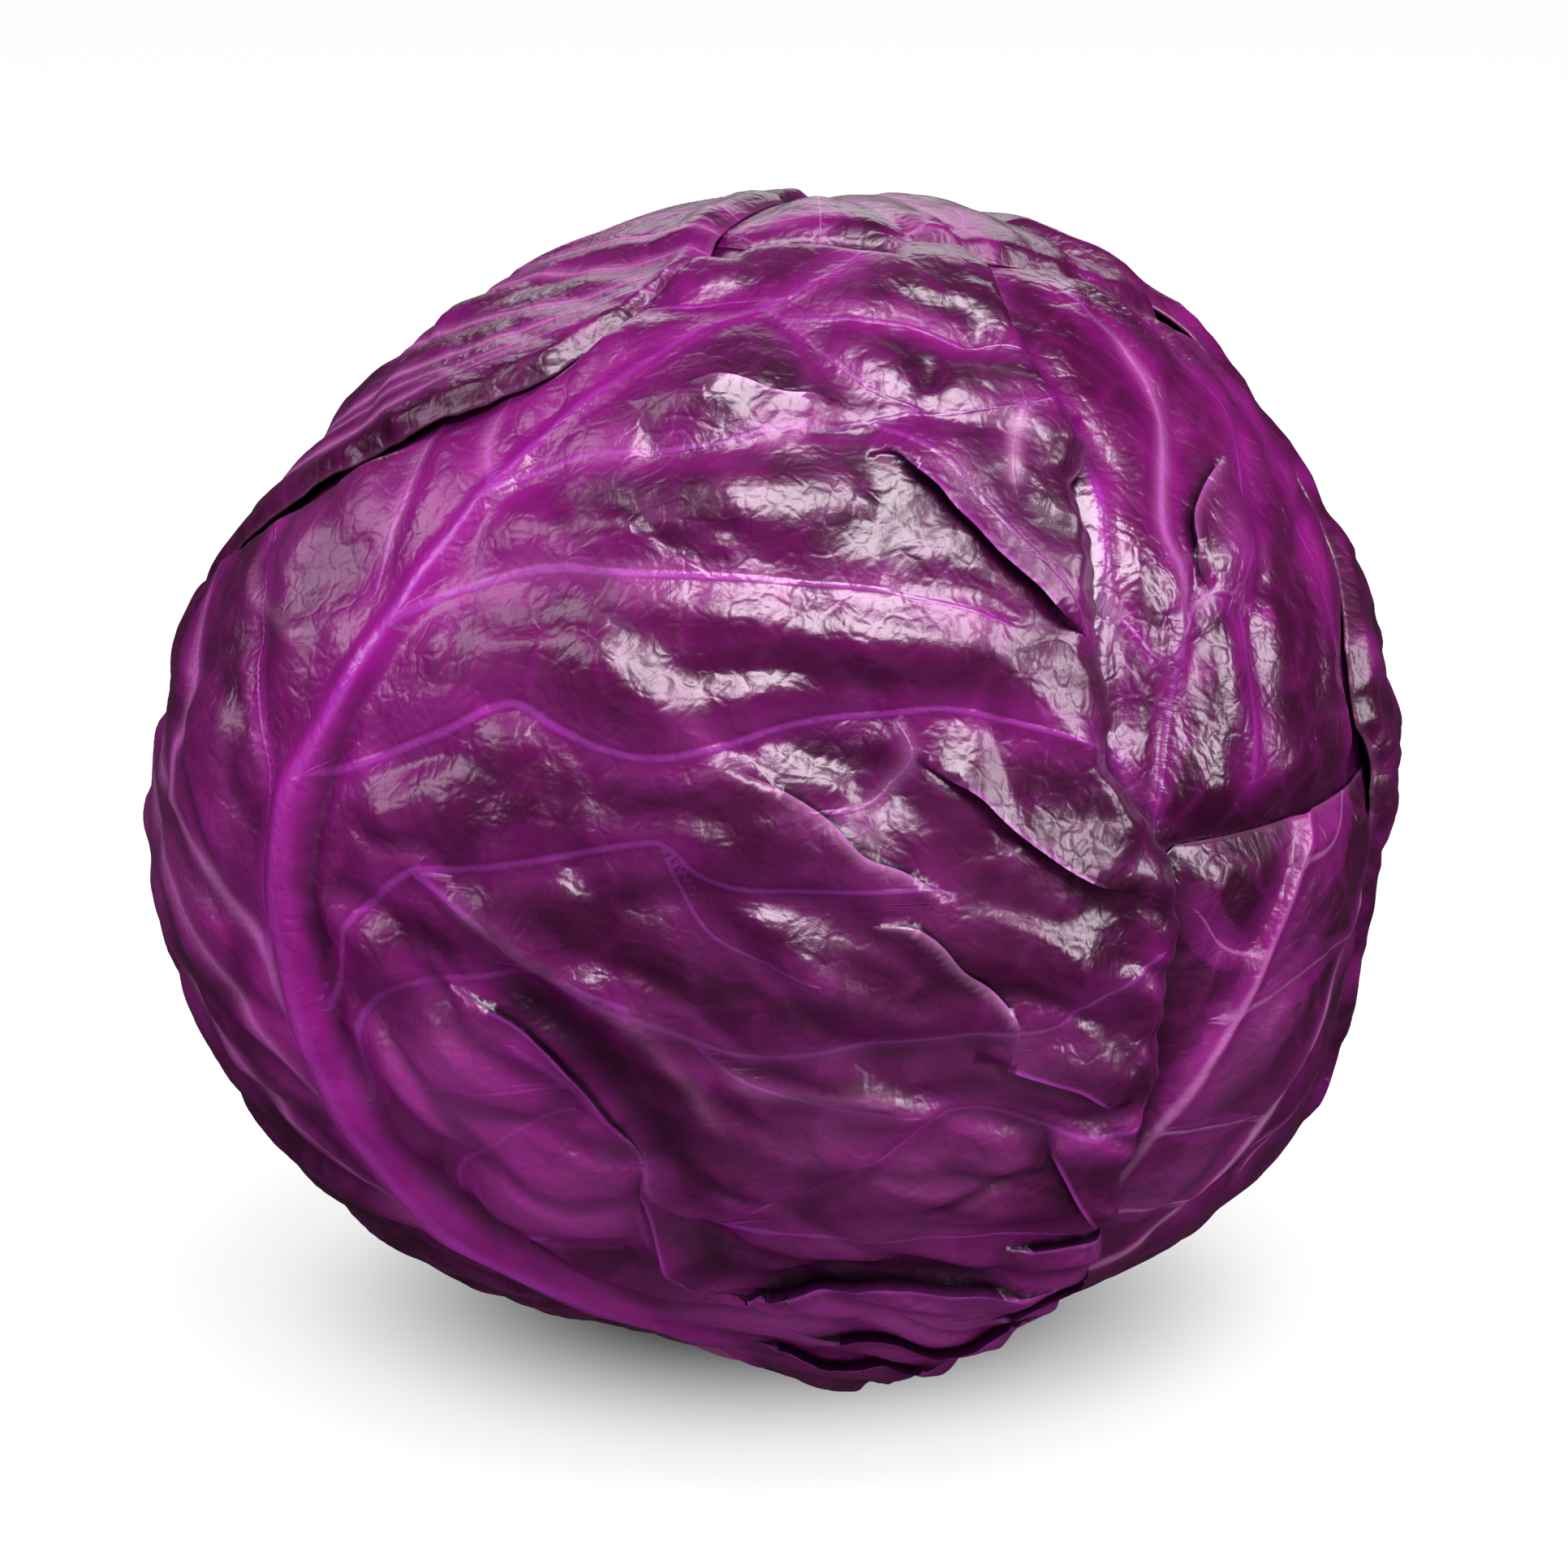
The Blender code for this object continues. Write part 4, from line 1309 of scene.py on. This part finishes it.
@dataclass
class Stem:
    """The short stem with its cut face on the table."""

    radius: float = STEM_RADIUS
    top: float = 0.0049
    round_over: float = 0.0007
    columns: int = 128
    face_rings: int = 9
    steps: int = 6  # rings of the rounded rim, and of the side

    def build(self) -> bpy.types.Object:
        """Profile turned round the Z axis: flat cut face, rounded rim, fluted side, flat top.

        The side's radius waves by a few tenths of a millimetre, as the leaf bases leave it.

        Returns:
            The closed object.
        """
        bend = np.linspace(0, np.pi / 2, self.steps)
        face = np.linspace(0.1, 0.9, self.face_rings) * (self.radius - self.round_over)
        rim = self.radius - self.round_over * (1 - np.sin(bend))
        side = np.linspace(0.0011, self.top - 0.0006, self.steps)
        profile = np.concatenate([
            np.stack([face, np.zeros(self.face_rings)], axis=1),
            np.stack([rim, self.round_over * (1 - np.cos(bend))], axis=1),
            np.stack([np.full(self.steps, self.radius), side], axis=1),
            np.stack([face[::-1], np.full(self.face_rings, self.top)], axis=1),
        ])
        turn = np.arange(self.columns) * 2 * np.pi / self.columns
        share = profile[:, :1] / self.radius
        flute = 1 - share**4 * (0.012 * np.sin(5 * turn + 1) + 0.006 * np.sin(13 * turn) + 0.012)
        r, z = profile[:, :1] * flute, np.repeat(profile[:, 1:], self.columns, axis=1)
        places = np.stack([r * np.cos(turn), r * np.sin(turn), z], axis=-1).reshape(-1, 3)
        places = np.concatenate([places, [[0, 0, 0.0], [0, 0, self.top]]])
        made = make_piece("cut_stem_end", places, closed_rings(len(profile), self.columns))
        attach(made, "root")
        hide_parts("cut_stem")
        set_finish(made, "cut_stem")
        LOG.info("%s: %d faces", made.name, len(made.data.polygons))
        return made


# ---------------------------------------------------------------- finishes


class Board:
    """A material's node tree with short calls to add and join its nodes."""

    def __init__(self, name: str) -> None:
        """Starts a material whose only node is its shader.

        Args:
            name: the material's name.
        """
        self.material = bpy.data.materials.new(name)
        self.material.use_nodes = True
        self.tree = self.material.node_tree
        self.shader = self.tree.nodes["Principled BSDF"]

    def add(self, kind: str, inputs: dict | None = None, **settings: object) -> bpy.types.Node:
        """Adds a node; an input given a socket is linked to it, and any other is set.

        Args:
            kind: the node's type.
            inputs: value or socket for each input, by name or number.
            settings: the node's own settings.

        Returns:
            The node.
        """
        node = self.tree.nodes.new(kind)
        for name, value in settings.items():
            setattr(node, name, value)
        for name, value in (inputs or {}).items():
            self.feed(node, name, value)
        return node

    def feed(self, node: bpy.types.Node, name: str | int, value: object) -> None:
        """Links a socket to a node's input, or sets the input to a value.

        Args:
            node: the node.
            name: name or number of its input.
            value: the socket or the value.
        """
        if isinstance(value, Socket):
            self.tree.links.new(value, node.inputs[name])
        else:
            node.inputs[name].default_value = value

    def math(self, operation: str, a: object, b: object = 0.0) -> Socket:
        """Result of a Math node on two numbers or sockets."""
        return self.add("ShaderNodeMath", {0: a, 1: b}, operation=operation).outputs[0]

    def ramp(self, value: object, low: float, high: float, start: float = 0.0, end: float = 1.0) -> Socket:
        """Eased ramp: start at low, end at high."""
        inputs = {"Value": value, "From Min": low, "From Max": high, "To Min": start, "To Max": end}
        return self.add("ShaderNodeMapRange", inputs, interpolation_type="SMOOTHSTEP").outputs[0]

    def mix(self, share: object, a: object, b: object) -> Socket:
        """Colour between a and b by a share."""
        return self.add("ShaderNodeMix", {0: share, 6: a, 7: b}, data_type="RGBA").outputs[2]

    def attribute(self, name: str, output: str = "Fac") -> Socket:
        """A stored attribute of the mesh."""
        return self.add("ShaderNodeAttribute", attribute_name=name).outputs[output]

    def noise(self, place: object, scale: float, detail: float = 3.0, warp: float = 0.0) -> Socket:
        """Value of a noise at a place."""
        inputs = {"Vector": place, "Scale": scale, "Detail": detail, "Distortion": warp}
        return self.add("ShaderNodeTexNoise", inputs).outputs["Fac"]


@dataclass(frozen=True)
class Reading:
    """Sockets that a leaf's colour, roughness and relief share."""

    place: Socket  # place on the object
    # whitish paint with painted highlights, painted shade, and whitish bloom with painted sheen
    pale: Socket
    deep: Socket
    bloom_and_sheen: Socket
    near: Socket  # 1 at a vein, falling to 0 beside it
    across: Socket  # degrees from the nearest vein
    bright: Socket
    crease: Socket  # degrees from the nearest lip's edge
    broad: Socket  # a broad noise, and a finer one
    patch: Socket
    net: Socket  # 1 on the lines of the fine vein net
    core: Socket  # 1 in the middle of a vein


@dataclass(frozen=True)
class LeafFinish:
    """Waxy leaf skin: colours of the blade, its veins and its margins, and how it shines."""

    name: str
    dark: Colour = (0.012, 0.0002, 0.006, 1)
    blade: Colour = (0.048, 0.0005, 0.030, 1)
    bright: Colour = (0.165, 0.003, 0.130, 1)
    vein: Colour = (0.185, 0.013, 0.190, 1)
    # whitish veins and margins, also the painted highlight on lip edges and ridge crests
    pale: Colour = (0.38, 0.16, 0.31, 1)
    # whitish bloom: partly the wax's own, partly a painted sheen of the table's light
    bloom_and_sheen: Colour = (0.130, 0.013, 0.105, 1)
    shade: Colour = (0.008, 0.0004, 0.005, 1)  # painted shade in creases and gaps
    lip_shadow: Colour = (0.006, 0.0003, 0.004, 1)  # painted shadow under a lip
    sheen: Colour = (1.0, 0.86, 0.97, 1)
    brightness: float = 0.0  # shifts the blade towards bright
    roughness: float = 0.32
    network: float = 0.10  # depth of the fine vein net
    net_cells: float = 110.0  # cells of that net in a metre
    small_cells: float = 330.0  # cells of the smaller one
    depth: float = 0.0006  # depth of the whole relief in metres
    shine: float = 0.45  # strength of the mirror gloss, 0.5 being plain wax

    def make(self) -> bpy.types.Material:
        """Builds the material from its colour, its roughness and its relief.

        Returns:
            The material.
        """
        b = Board(self.name)
        read = self.reading(b)
        bump = {"Height": self.relief(b, read), "Distance": self.depth, "Strength": 0.6}
        bump = b.add("ShaderNodeBump", bump).outputs[0]
        skin = {"Base Color": self.colour(b, read), "Roughness": self.rough(b, read), "Normal": bump}
        wax = {"IOR": 1.45, "Specular IOR Level": self.shine, "Specular Tint": self.sheen}
        coat = {"Coat Weight": 0.06, "Coat Roughness": 0.22}
        for name, value in {**skin, **wax, **coat}.items():
            b.feed(b.shader, name, value)
        return b.material

    def reading(self, b: Board) -> Reading:
        """Reads what is stored on the mesh, and makes the noises, the vein net and the vein cores.

        A core is a bell across the vein, dimmed away from it and in places along it.

        Args:
            b: the material's board.

        Returns:
            The sockets that colour, roughness and relief share.
        """
        place = b.add("ShaderNodeTexCoord").outputs["Object"]
        paint = b.add("ShaderNodeSeparateColor", {"Color": b.attribute("paint", "Color")}).outputs
        near, across = b.attribute("paint", "Alpha"), b.attribute("across")
        broad, patch = b.noise(place, 16, 3, 0.4), b.noise(place, 60, 4, 0.8)
        net = b.ramp(self.cells(b, place, self.net_cells), 0.0, 0.16, 1.0, 0.0)
        line = b.math("ABSOLUTE", b.attribute("line"))
        core = b.math("MULTIPLY", b.ramp(line, 0.15, 1.0, 0.6, 0.0), near)
        core = b.math("MULTIPLY", core, b.ramp(broad, 0.35, 0.65, 0.45, 1.0))
        core = b.math("MULTIPLY", core, b.ramp(across, 0.8, 1.8, 1.0, 0.0))
        bright, crease = b.attribute("bright"), b.attribute("crease")
        return Reading(place, *paint[:3], near, across, bright, crease, broad, patch, net, core)

    def colour(self, b: Board, read: Reading) -> Socket:
        """Paints the blade.

        It swings between dark and blade by two noises and turns bright beside veins, on painted
        places and along the net. Cores are lilac, and the whitish bloom with its painted sheen dull.
        Folds and gaps get painted shade, the low side of a lip a darker painted shadow and its brim
        a painted highlight; margins are whitish.

        Args:
            b: the material's board.
            read: the shared sockets.

        Returns:
            The colour.
        """
        tone = b.math("ADD", b.math("MULTIPLY", read.broad, 1.1), b.math("MULTIPLY", read.patch, 0.5))
        tone = b.ramp(tone, 0.45 - self.brightness, 1.15 - self.brightness)
        halo = b.ramp(read.across, 0.2, 4.5, 0.45, 0.0)
        halo = b.math("MULTIPLY", halo, b.ramp(read.patch, 0.25, 0.7, 0.5, 1.0))
        zone = b.math("MULTIPLY", read.bright, b.ramp(read.patch, 0.2, 0.6, 0.55, 1.0))
        # painted shadow on the low side of a lip, then a painted highlight on its brim
        low = b.ramp(read.crease, -0.9, -0.1, 0.0, 0.9)
        low = b.math("MULTIPLY", low, b.ramp(read.crease, 0.0, 0.1, 1.0, 0.0))
        brim_highlight = b.ramp(read.crease, -0.02, 0.04)
        brim_highlight = b.math("MULTIPLY", brim_highlight, b.ramp(read.crease, 0.08, 0.4, 0.4, 0.0))
        colour = b.mix(tone, self.dark, self.blade)
        for share, over in (
            (halo, self.bright), (zone, self.bright), (b.math("MULTIPLY", read.net, 0.11), self.bright),
            # then the bloom with its painted sheen, painted shade in folds and gaps, painted shadow and
            # highlight at lips, and whitish lines with their painted glints
            (read.core, self.vein), (read.bloom_and_sheen, self.bloom_and_sheen),
            (b.math("MULTIPLY", read.deep, 0.9), self.shade), (low, self.lip_shadow), (brim_highlight, self.vein),
            (b.math("MULTIPLY", read.pale, 0.6), self.pale),
        ):
            colour = b.mix(share, colour, over)
        return colour

    def rough(self, b: Board, read: Reading) -> Socket:
        """Roughness: it swings by the finer noise, more on the whitish bloom and its painted sheen and less
        on bright places.

        Args:
            b: the material's board.
            read: the shared sockets.

        Returns:
            The roughness.
        """
        rough = b.ramp(read.patch, 0.3, 0.75, self.roughness - 0.04, self.roughness + 0.08)
        rough = b.math("ADD", rough, b.math("MULTIPLY", read.bloom_and_sheen, 0.12))
        return b.math("SUBTRACT", rough, b.math("MULTIPLY", read.bright, 0.06))

    def relief(self, b: Board, read: Reading) -> Socket:
        """Adds up the relief: nets pressed in, cores and wrinkles raised, strokes across veins.

        Args:
            b: the material's board.
            read: the shared sockets.

        Returns:
            The height, as a share of the relief's depth.
        """
        small = b.ramp(self.cells(b, read.place, self.small_cells), 0.0, 0.2, 1.0, 0.0)
        dimple = b.math("ABSOLUTE", b.math("SUBTRACT", b.noise(read.place, 100, 3, 0.9), 0.5))
        along = b.math("MULTIPLY", b.attribute("along"), 2.6)
        strokes = {0: along, 1: b.math("MULTIPLY", read.across, 0.35)}
        strokes = b.noise(b.add("ShaderNodeCombineXYZ", strokes).outputs[0], 1.0, 2)
        strokes = b.math("MULTIPLY", strokes, b.ramp(read.across, 0.6, 4.0, 1.0, 0.0))
        strokes = b.math("MULTIPLY", strokes, b.ramp(read.near, 0.6, 1.0))
        height = b.math("MULTIPLY", read.net, -self.network)
        for part, amount in (
            (small, -0.13), (read.core, 0.45), (b.noise(read.place, 185, 4, 1.2), 0.45),
            (b.noise(read.place, 700, 3, 0.2), 0.30), (b.ramp(dimple, 0.0, 0.2), 0.30), (strokes, 0.14),
        ):
            height = b.math("ADD", height, b.math("MULTIPLY", part, amount))
        return height

    def cells(self, b: Board, place: Socket, scale: float) -> Socket:
        """Distance to the edge of irregular cells, on a place bent a little by a noise.

        Args:
            b: the material's board.
            place: where on the object.
            scale: cells in a metre.

        Returns:
            The distance, in cells.
        """
        swell = {"Vector": place, "Scale": scale * 0.6, "Detail": 2.0}
        bend = b.add("ShaderNodeTexNoise", swell).outputs["Color"]
        for operation, inputs in (("SUBTRACT", {1: (0.5, 0.5, 0.5)}), ("SCALE", {"Scale": 0.9 / scale})):
            bend = b.add("ShaderNodeVectorMath", {0: bend, **inputs}, operation=operation).outputs[0]
        bent = b.add("ShaderNodeVectorMath", {0: place, 1: bend}, operation="ADD").outputs[0]
        edges = b.add("ShaderNodeTexVoronoi", {"Vector": bent, "Scale": scale}, feature="DISTANCE_TO_EDGE")
        return edges.outputs["Distance"]


@dataclass(frozen=True)
class CutFinish:
    """Cut stem: pale pith, a lilac ring of bundles and a purple skin."""

    pith: Colour = (0.72, 0.62, 0.56, 1)
    ring: Colour = (0.36, 0.10, 0.28, 1)
    skin: Colour = (0.20, 0.012, 0.13, 1)
    fleck: Colour = (0.30, 0.19, 0.15, 1)
    radius: float = STEM_RADIUS

    def make(self) -> bpy.types.Material:
        """Builds the material: rings by the distance from the Z axis, with fibres between them.

        Returns:
            The material.
        """
        b = Board("cut stem")
        place = b.add("ShaderNodeTexCoord").outputs["Object"]
        flat = b.add("ShaderNodeVectorMath", {0: place, 1: (1, 1, 0)}, operation="MULTIPLY").outputs[0]
        away = b.add("ShaderNodeVectorMath", {0: flat}, operation="LENGTH").outputs["Value"]
        fibre = b.noise(place, 500, 4, 0.4)
        share = b.math("ADD", b.math("DIVIDE", away, self.radius), b.math("MULTIPLY", fibre, 0.12))
        colour = b.mix(b.ramp(share, 0.62, 0.84), self.pith, self.ring)
        colour = b.mix(b.ramp(share, 0.90, 1.0), colour, self.skin)
        colour = b.mix(b.math("MULTIPLY", b.noise(place, 1200, 2), 0.25), colour, self.fleck)
        bump = b.add("ShaderNodeBump", {"Height": fibre, "Distance": 0.0005, "Strength": 0.5})
        for name, value in {"Base Color": colour, "Roughness": 0.62, "Normal": bump.outputs[0]}.items():
            b.feed(b.shader, name, value)
        return b.material


FINISHES = {
    "inner_leaf": LeafFinish("inner leaf", blade=(0.035, 0.0004, 0.02, 1)),
    "glossy_leaf": LeafFinish("glossy leaf", brightness=0.02, roughness=0.27),
    "ribbed_leaf": LeafFinish("ribbed leaf", vein=(0.28, 0.10, 0.24, 1), bloom_and_sheen=(0.11, 0.012, 0.09, 1)),
    "front_leaf": LeafFinish("front leaf", vein=(0.21, 0.016, 0.225, 1)),
    "outer_leaf": LeafFinish("outer leaf", vein=(0.22, 0.045, 0.20, 1), brightness=-0.05, shine=0.33),
}


# ---------------------------------------------------------------- studio


@dataclass
class Softbox:
    """A square of soft light: where it stands, its size in metres and how bright its face is."""

    name: str
    azimuth: float
    elevation: float
    distance: float
    wide: float
    tall: float
    radiance: float
    mirrored: bool = True  # whether glossy surfaces show it

    def build(self) -> None:
        """Makes the lamp, facing the head; its power is pi times area times radiance."""
        data = bpy.data.lights.new(self.name, "AREA")
        data.shape = "RECTANGLE"
        data.size, data.size_y = self.wide, self.tall
        data.energy = np.pi * self.wide * self.tall * self.radiance
        lamp = bpy.data.objects.new(self.name, data)
        back = direction(self.azimuth, self.elevation)
        side = np.cross([0, 0, 1.0], back)
        side /= np.linalg.norm(side)
        turn = np.stack([side, np.cross(back, side), back, CENTRE + back * self.distance], axis=1)
        lamp.matrix_world = Matrix([*turn.tolist(), [0, 0, 0, 1]])
        lamp.visible_camera = False
        lamp.visible_glossy = self.mirrored
        bpy.context.scene.collection.objects.link(lamp)


@dataclass
class Studio:
    """White table, softboxes and the camera."""

    camera_tilt: float = 17.0
    camera_distance: float = 0.564
    lens: float = 90.0
    sensor: float = 36.0
    shift: tuple[float, float] = (0.0041, -0.0021)
    floor_radius: float = 8.0
    floor_sides: int = 96
    room_light: float = 0.03
    softboxes: tuple[Softbox, ...] = (
        Softbox("overhead softbox", 13, 63, 1.1, 0.74, 0.56, 26.0),
        Softbox("right softbox", 73, 26, 1.0, 0.34, 0.55, 19.0),
        Softbox("left softbox", -84, 36, 1.1, 0.5, 0.6, 6.0),
        Softbox("low left card", -60, 2, 0.8, 0.5, 0.3, 6.0, mirrored=False),
        Softbox("low front card", 14, -10, 0.38, 0.4, 0.1, 5.5, mirrored=False),
        Softbox("rear softbox", 180, 26, 1.3, 0.9, 0.5, 2.2),
    )

    def floor(self) -> None:
        """Makes the table, a wide disc that the glossy leaves don't mirror."""
        n = np.arange(self.floor_sides)
        turn = n * 2 * np.pi / self.floor_sides
        edge = np.stack([np.cos(turn), np.sin(turn), 0 * turn], axis=1) * self.floor_radius
        face = np.stack([n, np.roll(n, -1), np.full(len(n), len(n))], axis=1)
        made = make_piece("table", np.concatenate([edge, [[0, 0, 0.0]]]), [face])
        made.data.materials.append(self.floor_material())
        made.visible_glossy = False

    def floor_material(self) -> bpy.types.Material:
        """White table whose glow fades to dark near the head, a painted shadow there, and is white far from
        it; its dim diffuse part also takes the real shadow.

        Returns:
            The material.
        """
        b = Board("white table")
        place = b.add("ShaderNodeTexCoord").outputs["Object"]
        shadow = {"Vector": place, "Location": (0, -0.012, 0), "Scale": (0.75, 1, 1)}
        place = b.add("ShaderNodeMapping", shadow).outputs[0]
        away = b.add("ShaderNodeVectorMath", {0: place}, operation="LENGTH").outputs["Value"]
        # painted shadow: the glow fades to nothing towards the head
        glow = b.math("ADD", b.ramp(away, 0.014, 0.060, 0.0, 0.80), b.ramp(away, 0.040, 0.090, 0.0, 0.17))
        matt = {"Base Color": (0.07, 0.07, 0.07, 1), "Roughness": 0.9, "Specular IOR Level": 0.0}
        for name, value in {**matt, "Emission Color": (1, 1, 1, 1), "Emission Strength": glow}.items():
            b.feed(b.shader, name, value)
        return b.material

    def build(self) -> None:
        """Makes the floor, the lamps, the dim room and the camera."""
        scene = bpy.context.scene
        self.floor()
        for box in self.softboxes:
            box.build()
        scene.world = bpy.data.worlds.new("dim room")
        scene.world.use_nodes = True
        background = scene.world.node_tree.nodes["Background"]
        background.inputs["Color"].default_value = (1, 1, 1, 1)
        background.inputs["Strength"].default_value = self.room_light
        scene.view_settings.view_transform = "Standard"
        lens = bpy.data.cameras.new("camera")
        lens.lens, lens.sensor_width = self.lens, self.sensor
        lens.shift_x, lens.shift_y = self.shift
        lens.clip_start, lens.clip_end = 0.01, 50.0
        camera = bpy.data.objects.new("camera", lens)
        camera.location = CENTRE + direction(0, self.camera_tilt) * self.camera_distance
        camera.rotation_euler = (np.radians(90 - self.camera_tilt), 0, 0)
        scene.collection.objects.link(camera)
        scene.camera = camera
        LOG.info("studio: %d softboxes", len(self.softboxes))


def main() -> None:
    """Builds the studio, the head and its finishes; each piece logs its face count."""
    logging.basicConfig(level=logging.INFO, format="%(message)s")
    Studio().build()
    materials = {slot: finish.make() for slot, finish in FINISHES.items()}
    materials["cut_stem"] = CutFinish().make()
    for piece in (Heart().build(), Stem().build(), *WrappedLeaves().build_all()):
        piece.data.materials.append(materials[piece["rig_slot"]])


if __name__ == "__main__":
    main()
